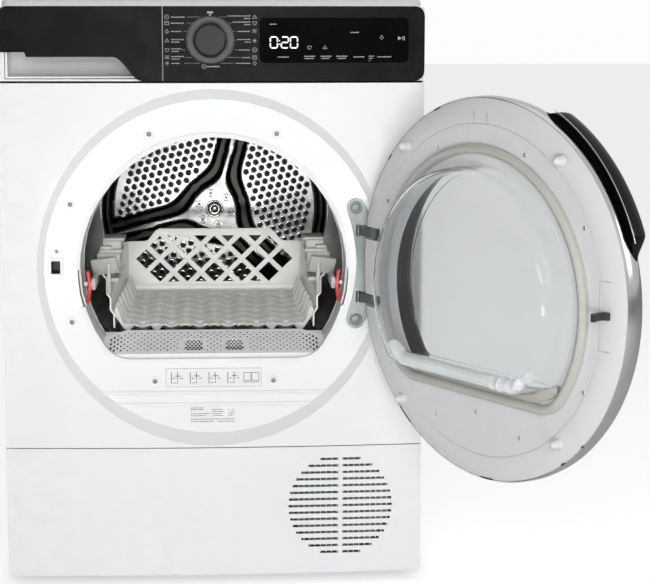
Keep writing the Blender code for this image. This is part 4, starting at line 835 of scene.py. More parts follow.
# ---- drum's back --------------------------------------------------------------------------------
WALL_Y = WALL_LOW.y
ARM_TURN = [math.radians(74.5 + 120 * k) for k in range(3)]
ARM_HALF = 6.3 * MM
HUB_R = 39 * MM
GROOVE_W = 16 * MM
GROOVE_DEPTH = 12 * MM
FIELD_R = 172 * MM
RIM_GROOVE_R = 185 * MM
HOLE_PITCH = 13.3 * MM
HOLE_TILT = math.radians(14.5)
HOLE_REACH = 14
BACK_RINGS, BACK_SIDES = 130, 288
HOLE_RIM = ((5.4, -0.2), (5.0, 0.9), (3.8, 1.2), (3.3, 0.1))
HOLE_FACE = ((4.0, 0.15), (1.95, 0.15))
STUD = ((7.2, -0.6), (6.2, 1.2), (5.0, 1.3), (4.0, -0.4), (2.4, -0.4), (1.6, 1.0), (0.1, 1.3))
HUB_CAP = ((15.0, -0.6), (13.4, 1.8), (11.8, 1.8), (10.4, 0.2), (6.6, 0.2), (5.6, 2.6), (3.5, 3.8),
           (0.1, 4.0))


def step(value, low, high):
    """Smooth 0 to 1 as value goes from low to high."""
    share = min(1.0, max(0.0, (value - low) / (high - low)))
    return share * share * (3 - 2 * share)


def star_distance(x, z):
    """Distance outside the pressed star: a hub disc with three arms, blended where they meet."""
    radius = math.hypot(x, z)
    near = radius - HUB_R
    for turn in ARM_TURN:
        along = x * math.cos(turn) + z * math.sin(turn)
        side = abs(z * math.cos(turn) - x * math.sin(turn))
        if along > 0:
            arm = side - ARM_HALF
            blend = max(0.0, 1 - abs(arm - near) / (30 * MM))
            near = min(arm, near) - blend * blend * 30 * MM / 4
    return near


def wall_rise(x, z):
    """How far the pressed back stands towards the opening."""
    away = star_distance(x, z)
    radius = math.hypot(x, z)
    edge = 3 * MM
    star = 1 - step(away, -edge, edge)
    field = step(away, GROOVE_W - edge,
                 GROOVE_W + edge) * (1 - step(radius, FIELD_R - edge, FIELD_R + edge))
    outer = step(radius, RIM_GROOVE_R - edge, RIM_GROOVE_R + edge)
    crown = 1.2 * MM * (1 - step(radius, 20 * MM, 60 * MM))
    inside = radius < FIELD_R + edge
    high = max(star * (GROOVE_DEPTH + 1.5 * MM + crown) if inside else 0, field * GROOVE_DEPTH,
               outer * GROOVE_DEPTH)
    return high - GROOVE_DEPTH


def drum_back():
    """The pressed star and its two hole fields, the grooves between them in a near-black copy of the steel as
    painted shade, hole rims and hub studs in a lighter copy as painted highlight, and dark discs of painted shade
    in the holes.
    """
    outer = DRUM_R - 2.5 * MM
    shape = bmesh.new()
    loops = []
    for i in range(BACK_RINGS + 1):
        radius = max(0.5 * MM, outer * i / BACK_RINGS)
        bend = 5 * MM * step(radius, outer - 12 * MM, outer)
        loops.append([(x, WALL_Y - wall_rise(x, z) + bend, DRUM_Z + z) for x,
                      z in circle(0, 0, radius, BACK_SIDES)])
    rows = skin_loops(shape, loops)
    shape.faces.new(rows[0])
    deep = shape.copy()
    for part, keep_low in ((shape, False), (deep, True)):
        drop = []
        for face in part.faces:
            centre = face.calc_center_median()
            low_here = centre.y - WALL_Y > 2.5 * MM and math.hypot(centre.x,
                                                                   centre.z - DRUM_Z) < RIM_GROOVE_R
            if low_here != keep_low:
                drop.append(face)
        bmesh.ops.delete(part, geom=drop, context="FACES")
    rims, deeps, studs = bmesh.new(), bmesh.new(), bmesh.new()
    for j in range(-HOLE_REACH, HOLE_REACH + 1):
        for i in range(-HOLE_REACH, HOLE_REACH + 1):
            u, v = (i + (j % 2) / 2) * HOLE_PITCH, j * HOLE_PITCH * math.sqrt(3) / 2
            x = u * math.cos(HOLE_TILT) - v * math.sin(HOLE_TILT)
            z = u * math.sin(HOLE_TILT) + v * math.cos(HOLE_TILT)
            if math.hypot(x, z) > FIELD_R - 12 * MM or star_distance(x, z) < GROOVE_W + 8 * MM:
                continue
            facing_ring(rims, x, DRUM_Z + z, WALL_Y, -1, HOLE_RIM, 14)
            # a dark disc at the foot of each hole: painted shade
            deeps.faces.new(facing_ring(deeps, x, DRUM_Z + z, WALL_Y, -1, HOLE_FACE, 14)[-1])
    for k in range(6):
        a = math.radians(43.5 + 60 * k)
        x, z = 27 * MM * math.cos(a), 27 * MM * math.sin(a)
        facing_ring(studs, x, DRUM_Z + z, WALL_Y - wall_rise(x, z), -1, STUD, 20)
    facing_ring(studs, 0, DRUM_Z, WALL_Y - wall_rise(0, 0) - 0.4 * MM, -1, HUB_CAP, 40)
    for name, part, finish, slot, hides, smooth in (
            ("drum_back", shape, "wall_steel", "stainless_steel",
             ("drum_rear_wall", "drum_spider", "drum_hub"), 60),
            # the grooves' low faces, near-black: painted shade
            ("drum_back_grooves", deep, "steel_painted_groove_shade", "stainless_steel", (), 60),
            # hole rims and hub studs in lighter steel: painted highlight
            ("drum_hole_rims", rims, "steel_painted_highlight", "stainless_steel", (), 50),
            ("drum_holes", deeps, "hole_dark", "dark_plastic", (), 35),
            ("drum_hub_studs", studs, "steel_painted_highlight", "stainless_steel", (), 50)):
        add_piece(name, part, finish, "drum", hides, smooth)


# ---- drying rack --------------------------------------------------------------------------------
RACK_BACK_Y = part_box("drying_rack")[1].y
RACK_FRONT_Y = CROWN_Y + 90 * MM
RACK_X = 138 * MM
FIELD_TOP, FIELD_SHOULDER = 471.5 * MM, 451.6 * MM
TRAY_BACK_Z, TRAY_FRONT_Z = 366 * MM, 344 * MM
WAVE_PITCH, WAVE_ROW = 42.3 * MM, 25 * MM


def diamond(x, z, half, rise=None):
    rise = rise or half
    return [(x - half, z), (x, z - rise), (x + half, z), (x, z + rise)]


def rack_lattice():
    pitch, half = 43.0 * MM, 16.2 * MM
    holes = []
    for count, z in ((5, 444.4), (6, 423.3), (5, 402.4)):
        for k in range(count):
            holes.append(diamond((k - (count - 1) / 2) * pitch, z * MM, half, 15.6 * MM))
    for k in range(4):
        x = (k - 1.5) * pitch
        holes.append([(x - 10.5 * MM, 460.5 * MM), (x, 450.0 * MM), (x + 10.5 * MM, 460.5 * MM)])
        holes.append([(x - 9.5 * MM, 387.0 * MM), (x + 9.5 * MM, 387.0 * MM), (x, 396.5 * MM)])
    return holes


TRAY_TOP = 380 * MM
BEND_R, BEND_STEPS, TRAY_STEPS, TRAY_COLUMNS = 20 * MM, 10, 96, 180
SIDE_ROWS, SIDE_COLUMNS = 24, 30


def rack_panel():
    """The lattice panel at the rack's back."""
    right = [(RACK_X, TRAY_TOP), (RACK_X, 446 * MM), (133 * MM, FIELD_SHOULDER), (111 * MM, FIELD_SHOULDER),
             (104 * MM, 454 * MM), (93 * MM, 468 * MM), (87 * MM, FIELD_TOP)]
    loop = [(-RACK_X, TRAY_TOP)] + right + [(-x, z) for x, z in reversed(right[1:])]
    shape = flat_solid("rack_panel", [loop] + rack_lattice(), RACK_BACK_Y - 3.2 * MM, RACK_BACK_Y)
    return rounded(mesh_of("rack_panel", shape), 0.9 * MM, 2)


def tray_path():
    """The tray's line from the panel's foot, round a bend and down to the front edge, as (y, z)."""
    y, z = RACK_BACK_Y - 1.6 * MM, TRAY_TOP + 1 * MM
    path = [(y, z)]
    for i in range(BEND_STEPS + 1):
        a = math.pi / 2 * i / BEND_STEPS
        path.append((y - BEND_R * (1 - math.cos(a)), z - 2 * MM - BEND_R * 0.72 * math.sin(a)))
    y, z = path[-1]
    for i in range(1, TRAY_STEPS + 1):
        share = i / TRAY_STEPS
        path.append((y + (RACK_FRONT_Y - y) * share, z + (TRAY_FRONT_Z - z) * share))
    return path


def rack_tray():
    """The sloping tray with rows of scalloped waves, turned up at both sides."""
    loops = []
    length = 0.0
    path = tray_path()
    for i, (y, z) in enumerate(path):
        length += math.dist(path[i - 1], (y, z)) if i else 0.0
        wide = RACK_X - 1 * MM + 11 * MM * step(length, 20 * MM, 175 * MM)
        fade = step(length, 10 * MM, 24 * MM)
        loop = []
        for k in range(TRAY_COLUMNS + 1):
            x = (-1 + 2 * k / TRAY_COLUMNS) * wide
            side = step(abs(x), wide - 20 * MM, wide - 2 * MM)
            weave = 7.5 * MM * math.cos(math.tau * x / WAVE_PITCH) * (1 - side)
            phase = (length + weave + 10 * MM * side) / WAVE_ROW
            slope = phase - math.floor(phase)
            crest = step(slope, 0.0, 0.62) * (1 - step(slope, 0.72, 1.0))
            lift = 9.0 * MM * crest * fade + 24 * MM * side * side * step(length, 0, 20 * MM)
            loop.append((x - math.copysign(3.0 * MM * crest * fade * side, x), y, z + lift))
        loops.append(loop)
    tray = bmesh.new()
    skin_loops(tray, loops, closed=False)
    return changed(mesh_of("rack_tray", tray), ("SOLIDIFY", {"thickness": 2.2 * MM, "offset": -1.0}))


def rack_side(side):
    """A stepped side wall between the tray and the panel."""
    rows = []
    for j in range(SIDE_ROWS + 1):
        v = j / SIDE_ROWS
        out = (5 * step(v, 0.25, 0.33) + 5 * step(v, 0.55, 0.63) + 6 * step(v, 0.90, 1.0)) * MM
        row = []
        for i in range(SIDE_COLUMNS + 1):
            w = i / SIDE_COLUMNS
            y = RACK_FRONT_Y + (RACK_BACK_Y - 2 * MM - RACK_FRONT_Y) * w
            top = (428 + 24 * step(w, 0.02, 0.35)) * MM
            base = TRAY_FRONT_Z + (TRAY_BACK_Z - TRAY_FRONT_Z) * w + 4 * MM
            wide = RACK_X - 2 * MM + 11 * MM * (1 - step(w, 0.0, 0.9)) + out * (1 - step(w, 0.82, 1.0))
            row.append((side * wide, y, base + (top - base) * v))
        rows.append(row)
    sheet = bmesh.new()
    skin_loops(sheet, rows, closed=False)
    return changed(mesh_of("rack_side", sheet), ("SOLIDIFY", {"thickness": 2.4 * MM, "offset": 0.0}))


def drying_rack():
    basket = merged("rack_basket", rack_panel(), rack_tray(), rack_side(-1), rack_side(1))
    add_piece("rack_basket", basket, "rack_plastic", "rack", ("drying_rack",), 45)
    rack_hooks()
    # dark half-discs in the tray's three drain holes: painted shade
    dark = bmesh.new()
    half_turn = [math.pi * i / 14 for i in range(15)]
    y, z = RACK_FRONT_Y - 0.8 * MM, TRAY_FRONT_Z + 0.4 * MM
    for k in (-1, 0, 1):
        hole = [(k * WAVE_PITCH + 9.5 * MM * math.cos(a), z + 6.0 * MM * math.sin(a)) for a in half_turn]
        rows = skin_loops(dark, [[(px, depth, pz) for px, pz in hole] for depth in (y, y + 0.8 * MM)])
        dark.faces.new(rows[0])
        dark.faces.new(list(reversed(rows[1])))
    add_piece("rack_drain_holes", dark, "hole_dark", "rack")


def merged(name, *meshes):
    """Several meshes as one."""
    whole = bmesh.new()
    for mesh in meshes:
        whole.from_mesh(mesh)
        bpy.data.meshes.remove(mesh)
    mesh = bpy.data.meshes.new(name)
    whole.to_mesh(mesh)
    whole.free()
    return mesh


# each block of the right side's hook, in mm: x from and to, y behind the front, z, edge radius
HOOK_BLOCKS = ((131, 163, 100, 148, 474, 480, 2.5), (136, 163, 98, 144, 462, 476, 1.5),
               (134, 168, 92, 142, 458, 464, 1.5),
               (150, 166, 90, 98, 464, 469, 1.0), (137, 171, 90, 138, 441, 459, 2.5),
               (150, 156, 76, 110, 400, 446, 1.2),
               (138, 150, 76, 124, 418, 424, 1.2), (168.6, 175, 30, 112, 414, 431, 2.0))
HOOK_FLAP = (-19, 19, -3, 3, -13, 13, 2.0)
FLAP_PLACE = (159, 82.5, 441)
PEG = ((0.1, 0), (4.6, 0), (5.4, 0.8), (5.4, 10), (3.2, 11), (3.2, 19), (0.1, 19))
PEG_X, PEG_Y, PEG_Z, PEG_STRETCH = 168.6, 36, 422.5, 0.86


def hook_block(side, block):
    x0, x1, y0, y1, z0, z1, soft = block
    xs = sorted((side * x0 * MM, side * x1 * MM))
    mesh = box_mesh("hook_block", (xs[0], CROWN_Y + y0 * MM, z0 * MM), (xs[1], CROWN_Y + y1 * MM, z1 * MM))
    return rounded(mesh, soft * MM, 2)


def hook_flap(side):
    """A leaning plate in front of each hook."""
    flap = hook_block(side, HOOK_FLAP)
    spans = [sorted(vertex.co[i] for vertex in flap.vertices) for i in range(3)]
    middle = Vector([(span[0] + span[-1]) / 2 for span in spans])
    lean = Matrix.Rotation(math.radians(22), 4, "X") @ Matrix.Rotation(side * math.radians(9), 4, "Y")
    spot = Vector((side * FLAP_PLACE[0] * MM, CROWN_Y + FLAP_PLACE[1] * MM, FLAP_PLACE[2] * MM))
    flap.transform(Matrix.Translation(spot) @ lean @ Matrix.Translation(-middle))
    return flap


def rack_hooks():
    """The rack's side hooks with their pegs, and the bowed red clips that turn on them; the hooks are a darker
    copy of the rack plastic, painted shade.
    """
    blocks, pegs = [], bmesh.new()
    for side, name in ((-1, "clip_left"), (1, "clip_right")):
        blocks += [hook_block(side, block) for block in HOOK_BLOCKS] + [hook_flap(side)]
        loops = []
        for radius, along in PEG:
            x = side * (PEG_X + along * PEG_STRETCH) * MM
            loops.append([(x, y, z) for y, z in circle(CROWN_Y + PEG_Y * MM, PEG_Z * MM, radius * MM, 24)])
        skin_loops(pegs, loops)
        clip = bmesh.new()
        rows = []
        for i in range(21):
            t = -1 + i / 10
            z = (418.0 + 23.0 * t) * MM
            half = (6.5 - 2.2 * t * t) * MM
            y0, y1 = CROWN_Y + PEG_Y * MM - half, CROWN_Y + PEG_Y * MM + half
            x_in, x_out = side * (175.0 + 3.2 * t * t) * MM, side * (180.0 + 3.2 * t * t) * MM
            rows.append([(x_in, y0, z), (x_out, y0, z), (x_out, y1, z), (x_in, y1, z)])
        made = skin_loops(clip, rows)
        clip.faces.new(made[0])
        clip.faces.new(list(reversed(made[-1])))
        add_piece(name, rounded(mesh_of(name, clip), 0.7 * MM, 2), "red_plastic", name,
                  ("rack_" + name,), 50)
    add_piece("rack_hooks", merged("rack_hooks", *blocks), "hook_plastic_painted_shade", "rack", (), 45)
    add_piece("rack_pegs", pegs, "white_plastic", "rack", (), 40)


# ---- lint filter --------------------------------------------------------------------------------
HOLE_STEP = 9.6 * MM                          # the filter's diamond holes, and its two arched wells
WELL_X, WELL_HALF = 29.5 * MM, 14 * MM
SIDES = (-1, 1)


def filter_holes(half, length):
    holes = []
    cols = int(half / HOLE_STEP) + 1
    for row in range(int((length - 14 * MM) / (HOLE_STEP / 2)) + 1):
        v = 9 * MM + row * HOLE_STEP / 2
        for k in range(-cols, cols + 1):
            u = (k + (row % 2) / 2) * HOLE_STEP
            past_edge = abs(u) > half - 8 * MM or v > length - 5 * MM - 13 * MM * step(abs(u),
                                                                                       half - 34 * MM, half)
            in_corner = v < 20 * MM * step(abs(u), half - 22 * MM, half)
            by_well = any(abs(u - side * WELL_X) < 19 * MM and v < 37 * MM for side in SIDES)
            if not (past_edge or in_corner or by_well):
                stretch = 1.0 + 0.9 * step(abs(u), 120 * MM, 150 * MM)
                holes.append(diamond(u, v, 2.3 * MM, 2.3 * MM * stretch))
    return holes


def filter_well(side, place):
    """A leaning net in one of the wells, and the dark face under it, painted shade."""
    cx = side * WELL_X
    loop = [(cx - WELL_HALF, -6 * MM), (cx + WELL_HALF, -6 * MM), (cx + WELL_HALF, 17 * MM),
            (cx - WELL_HALF, 17 * MM)]
    cells = []
    for row in range(7):
        for k in range(-4, 5):
            u = cx + (k + (row % 2) / 2) * 5.4 * MM
            if abs(u - cx) < 12.5 * MM:
                cells.append(diamond(u, -1.5 * MM + row * 2.7 * MM, 2.1 * MM))
    net = mesh_of("filter_net", flat_solid("filter_net", [loop] + cells, -0.5 * MM, 0.5 * MM, "Z"))
    under = mesh_of("filter_well", flat_solid("filter_well", [loop], -2.2 * MM, -1.4 * MM, "Z"))
    for mesh in (net, under):
        mesh.transform(Matrix.Translation((0, 21 * MM, -9 * MM)) @ Matrix.Rotation(math.radians(38), 4,
                                                                                   "X"))
        mesh.transform(place)
    return net, under


def lint_filter():
    """The pierced sloping deck over the filter, in a brighter copy of the white plastic as painted light, with its
    lip, a dark mesh backing as painted shade under the holes, and wells with dark faces of painted shade.
    """
    low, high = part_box("lint_filter")
    front, back = Vector((0, low.y, 320 * MM)), Vector((0, high.y, 345.5 * MM))
    along = (back - front).normalized()
    right = Vector((1, 0, 0))
    length = (back - front).length
    place = Matrix.Translation(front) @ Matrix((right, along, right.cross(along))).transposed().to_4x4()
    half = high.x + 3 * MM
    arches = []
    for cx in (-WELL_X, WELL_X):
        arches.append([(cx - WELL_HALF, 8 * MM), (cx + WELL_HALF, 8 * MM)])
        arches[-1] += [(cx + WELL_HALF * math.cos(a), 24 * MM + 9 * MM * math.sin(a))
                       for a in [math.pi * i / 12 for i in range(13)]]
    edge = [(half - 16 * MM, 0), (half - 5 * MM, 8 * MM), (half, 20 * MM), (half, length - 14 * MM),
            (half - 34 * MM, length + 1 * MM)]
    outline = [(-edge[0][0], 0)] + edge + [(-u, v) for u, v in reversed(edge[1:])]
    loops = [outline] + arches + filter_holes(half, length)
    deck = mesh_of("filter_deck", flat_solid("filter_deck", loops, 0.9 * MM, 2.4 * MM, "Z"))
    lip = rounded(box_mesh("filter_lip", (-half + 16 * MM, -1.2 * MM, -7 * MM),
                           (half - 16 * MM, 3 * MM, 3.0 * MM)),
                  1.8 * MM, 3)
    dark = bmesh.new()
    dark.faces.new([dark.verts.new((u * 0.97, v * 0.9 + 2 * MM, 0.35 * MM)) for u, v in outline])
    sheet = changed(mesh_of("filter_mesh_backing", dark), ("SOLIDIFY", {"thickness": 0.2 * MM}))
    sheet = carved(sheet, *[mesh_of("arch",
                                    flat_solid("arch", [arch], -5 * MM, 5 * MM, "Z")) for arch in arches])
    for mesh in (deck, lip, sheet):
        mesh.transform(place)
    wells, unders = zip(*[filter_well(side, place) for side in SIDES])
    add_piece("filter_deck", merged("filter_deck", deck, lip, *wells), "filter_white_painted_light", "filter")
    add_piece("filter_backing", sheet, "mesh_dark", "filter")
    add_piece("filter_wells", merged("filter_wells", *unders), "hole_dark", "filter")


# ---- door ---------------------------------------------------------------------------------------
BOWL_INSET = 22 * MM
BOWL_REACH = 55 * MM
BUMPER = ((0.1, 14), (2.6, 13.2), (4.6, 11.2), (5.8, 8.0), (6.4, 4.0), (6.6, 0), (7.6, -0.6))
SEAT = ((5.6, 0.02), (4.9, 0.35), (4.3, 0.35), (3.6, -0.02))
SCREW = ((3.4, 0.05), (3.2, 0.9), (2.5, 1.3), (1.5, 1.35), (1.3, 0.5), (0.1, 0.5))
DOOR_SCREW = ((2.9, 0.05), (2.6, 0.4), (1.2, 0.4), (0.9, 0.1), (0.1, 0.1))
ARM_Z = (404.5, 500)                          # heights of the hinge's two arms, in mm


def on_door(name, made_of, finish, hides=(), smooth=35):
    """A piece drawn with the door shut, swung open with it."""
    mesh = made_of if isinstance(made_of, bpy.types.Mesh) else mesh_of(name, made_of)
    mesh.transform(OPEN)
    return add_piece(name, mesh, finish, "door", hides, smooth)


def ray_reach(outline, cx, cz, angle):
    """Distance from (cx, cz) to an outline around it, along an angle."""
    dx, dz = math.cos(angle), math.sin(angle)
    best = 0.0
    for (ax, az), (bx, bz) in zip(outline, outline[1:] + outline[:1]):
        ex, ez = bx - ax, bz - az
        spread = dx * ez - dz * ex
        if abs(spread) < 1e-12:
            continue
        t = ((ax - cx) * ez - (az - cz) * ex) / spread
        s = ((ax - cx) * dz - (az - cz) * dx) / spread
        if t > 0 and -1e-9 <= s <= 1 + 1e-9:
            best = max(best, t)
    return best


def hinge_side_cutters():
    y0, y1 = PLATE_Y - 60 * MM, PLATE_Y + 20 * MM
    far = 290 * MM
    bevel = flat_solid("bevel", [[(RIM_R - 3.5 * MM, y1), (far, y1), (far, y0), (RIM_R - 28 * MM, y0),
                                  (RIM_R - 25 * MM, PLATE_Y - 36 * MM)]], 100 * MM, 800 * MM, "Z")
    cutters = [mesh_of("bevel", bevel)]
    for z in ARM_Z:
        low, high = (202 * MM, HINGE.y - 11.5 * MM, z * MM - 9 * MM), (far, y1, z * MM + 9 * MM)
        cutters.append(box_mesh("notch", low, high))
    return cutters


def door_plate():
    high = PLATE_FACE - PLATE_Y
    inner = mouth(-BOWL_INSET)
    groove_r, groove = 216 * MM, 0.5 * MM
    flat_r = 219 * MM
    profile = [(flat_r + (PLATE_R - flat_r) * i / 14, high * (1 - (i / 14) ** 1.7)) for i in range(15)]
    profile += [(PLATE_R, -2.5 * MM), (238 * MM, -2.5 * MM), (226 * MM, high - 4.5 * MM)]
    loops = []
    steps = 220
    turns = [math.tau * (i + 0.5) / steps for i in range(steps)]
    edge = [ray_reach(inner, 0, DOOR_Z, a) for a in turns]

    def ring(radius, depth):
        return [(radius * math.cos(a), PLATE_Y + depth, DOOR_Z + radius * math.sin(a)) for a in turns]
    loops.append([(e * math.cos(a), PLATE_Y + high, DOOR_Z + e * math.sin(a)) for e, a in zip(edge, turns)])
    loops += [ring(groove_r - groove, high), ring(groove_r - 0.2 * MM, high - 1.2 * MM),
              ring(groove_r + 0.2 * MM, high - 1.2 * MM), ring(groove_r + groove, high)]
    loops += [ring(radius, depth) for radius, depth in profile]
    loops.append([(e * math.cos(a), PLATE_Y + high - 2.5 * MM, DOOR_Z + e * math.sin(a)) for e,
                  a in zip(edge, turns)])
    shape = bmesh.new()
    skin_loops(shape, loops + [loops[0]])
    plate = carved(mesh_of("door_face", shape), *hinge_side_cutters())
    on_door("door_face", plate, "door_plastic", ("door_inner_plate",), 30)
    bumps = bmesh.new()
    for x, dz in ((145, 178), (-145, 178), (149, -171), (-149, -171)):
        facing_ring(bumps, x * MM, DOOR_Z + dz * MM, PLATE_FACE, 1, BUMPER)
    on_door("door_bumpers", bumps, "door_plastic", (), 60)


def door_details():
    """Screws, seams, rim tabs, the trim line, the black frame behind the bowl and the window."""
    seats, screws, lines = bmesh.new(), bmesh.new(), bmesh.new()
    for x, z in ((81, 631), (-81, 631), (184, 550), (-184, 550), (80, 271), (-80, 271), (1, 289),
                 (-188, 350)):
        facing_ring(seats, x * MM, z * MM, PLATE_FACE, 1, SEAT)
        facing_ring(screws, x * MM, z * MM, PLATE_FACE, 1, DOOR_SCREW)
    on_door("door_screw_seats", seats, "door_plastic")
    on_door("door_screws", screws, "chromed_rim")
    middle = DOOR_Z / MM - 2
    seams = [(-229.5, -211, middle + dz - 0.25, middle + dz + 0.25) for dz in (-42, 42)]
    seams += [(x - 0.25, x + 0.25, 664, 681) for x in (-12, 12)]
    for x0, x1, z0, z1 in seams + [(-211.3, -210.8, middle - 42, middle + 42)]:
        add_box(lines, (x0 * MM, PLATE_FACE - 0.4 * MM, z0 * MM),
                (x1 * MM, PLATE_FACE + 0.12 * MM, z1 * MM))
    on_door("door_seams", lines, "seam_grey")
    tabs = bmesh.new()
    low, high = PLATE_R - 0.8 * MM, PLATE_R + 1.2 * MM
    for turn, width in ((-93, 22), (-52, 30), (-137, 5), (-127, 7), (68, 12), (40, 9)):
        a = math.radians(turn)
        half = width * MM / 2 / PLATE_R
        loops = []
        for radius, y in ((low, 0.7), (high, 0.7), (high, -3.0), (low, -3.0)):
            loops.append([(radius * math.cos(a + half * t), PLATE_Y + y * MM,
                           DOOR_Z + radius * math.sin(a + half * t))
                          for t in (-1, -0.5, 0, 0.5, 1)])
        skin_loops(tabs, loops + [loops[0]], closed=False)
    on_door("door_tabs", tabs, "dark_plastic")
    trim = bmesh.new()
    skin_loops(trim, [[(x, PLATE_Y + y * MM, z) for x, z in circle(0, DOOR_Z, PLATE_R + out * MM, 180)]
                      for out, y in ((0.2, -0.4), (1.6, 0.3), (2.4, -1.4))])
    line = changed(mesh_of("door_trim_line", trim), ("SOLIDIFY", {"thickness": 0.5 * MM}))
    on_door("door_trim_line", carved(line, *hinge_side_cutters()), "chromed_rim", (), 60)
    black = turned([(180 * MM, -30 * MM), (228.6 * MM, -28 * MM), (229 * MM, -22.5 * MM),
                    (180 * MM, -23.5 * MM)],
                   (0, PLATE_Y, DOOR_Z), 144, True)
    frame_mesh = carved(mesh_of("door_inner_frame", black), *hinge_side_cutters())
    on_door("door_inner_frame", frame_mesh, "hole_dark", (), 40)
    glass_r = RIM_R - 22.3 * MM
    glass = turned([(0.2 * MM, -42.5 * MM), (120 * MM, -40.5 * MM), (glass_r, -33.5 * MM),
                    (glass_r, -30.3 * MM), (120 * MM, -37.0 * MM), (0.2 * MM, -39.0 * MM)],
                   (0, PLATE_Y, DOOR_Z), 144, True)
    window = carved(mesh_of("door_glass", glass), hinge_side_cutters()[0])
    on_door("door_glass", window, "smoked_glass", ("door_window",), 40)


# the chromed rim's section, in mm: inside the rim's radius, and behind the plate's edge
RIM_SECTION = ((5, -2.8), (1.9, -2.4), (1.2, -3.4), (0, -13), (1.2, -21), (4, -27), (8, -31), (17, -34),
               (22, -34), (22, -31), (17.5, -31), (7, -25), (3.5, -13))
GRIP_SECTION = ((-4, -28), (0, -33), (7, -35), (11, -33.5), (13, -29), (14, -20), (12.5, -11),
                (10.5, -10.5),
                (10.5, -20), (9.5, -25), (6.5, -27.5), (3, -27.5), (1, -25), (0.5, -20), (0.5, -12),
                (-1, -10))
GRIP_START, GRIP_END = math.radians(111), math.radians(165)


def door_rim():
    shape = turned([(RIM_R - inside * MM, y * MM) for inside, y in RIM_SECTION], (0, PLATE_Y, DOOR_Z), 180,
                   True)
    gap = box_mesh("gap", (235 * MM, PLATE_Y - 50 * MM, 395.5 * MM),
                   (290 * MM, PLATE_Y + 30 * MM, 509 * MM))
    rim = carved(mesh_of("door_ring", shape), hinge_side_cutters()[0], gap)
    on_door("door_ring", rim, "chromed_rim", ("door_rim",), 40)


def rim_point(angle, out, depth):
    """A point by the rim, so many mm outside it and behind the plate's edge."""
    radius = RIM_R - 1 * MM + out * MM
    return (radius * math.cos(angle), PLATE_Y + depth * MM, DOOR_Z + radius * math.sin(angle))


def door_handle():
    """A curved channel on the rim's upper free side, open towards the cabinet, tapering at both ends."""
    shape = bmesh.new()
    loops = []
    for i in range(73):
        share = i / 72
        full = step(min(share, 1 - share), 0.0, 0.13)
        loop = []
        for out, depth in GRIP_SECTION:
            out = -1.5 + (out + 1.5) * (0.10 + 0.90 * full) if out > -1.5 else out
            depth = -18 + (depth + 18) * (0.35 + 0.65 * full)
            loop.append(rim_point(GRIP_START + (GRIP_END - GRIP_START) * share, out, depth))
        loops.append(loop)
    rows = skin_loops(shape, loops)
    shape.faces.new(rows[0])
    shape.faces.new(list(reversed(rows[-1])))
    on_door("door_grip", shape, "gloss_black", ("door_handle",), 40)
    edge = bmesh.new()
    turns = [GRIP_START + (GRIP_END - GRIP_START) * (0.08 + 0.84 * i / 60) for i in range(61)]
    for out, depth in ((13.0, -10.6), (-0.2, -9.6)):
        loops = [[rim_point(a, px, py) for a in turns] for px, py in circle(out, depth, 0.55, 8)]
        skin_loops(edge, loops + [loops[0]], closed=False)
    on_door("door_grip_edges", edge, "chromed_rim", (), 60)


# sections in mm: outside the loading opening's outline, and towards the cabinet
SEAL_SECTION = ((-6, 0.3), (-6, 6), (-4, 9.3), (0, 11), (3, 9.6), (4.5, 6.4), (6, 5.8), (6, 0.3))
SEAL_FOOT = ((0, 0.3), (0, 2.2), (1.5, 3.6), (17, 4.8), (23, 5.6), (24, 0.3), (0, 0.3))
CUP_SECTION = ((0, 0), (0, 12), (-0.4, 50), (-2.2, 66), (-7.0, 73), (-12, 75))
LEDGE_STEPS, LEDGE_SIDES = 90, 20


def along_mouth(shape, section, base_y):
    """Carry a closed section of (offset, depth) around the loading opening's outline."""
    loops = []
    for offset, depth in list(section) + [section[0]]:
        loops.append([(x, base_y + depth * MM, z) for x, z in mouth(offset * MM)])
    return skin_loops(shape, loops)


def door_seal():
    shape = bmesh.new()
    along_mouth(shape, SEAL_SECTION, PLATE_FACE)
    on_door("door_seal", shape, "seal_rubber", ("door_gasket",), 60)
    band = bmesh.new()
    loops = []
    for drop, depth in SEAL_FOOT:
        loop = []
        for i in range(61):
            u = -1 + i / 30
            level = MOUTH_FLAT - 1 * MM + drop * MM * (1 - 0.55 * abs(u) ** 4) + 26 * MM * abs(u) ** 4
            loop.append((u * 150 * MM, PLATE_FACE + depth * MM, level))
        loops.append(loop)
    skin_loops(band, loops, closed=False)
    on_door("door_seal_foot", band, "seal_rubber", (), 60)


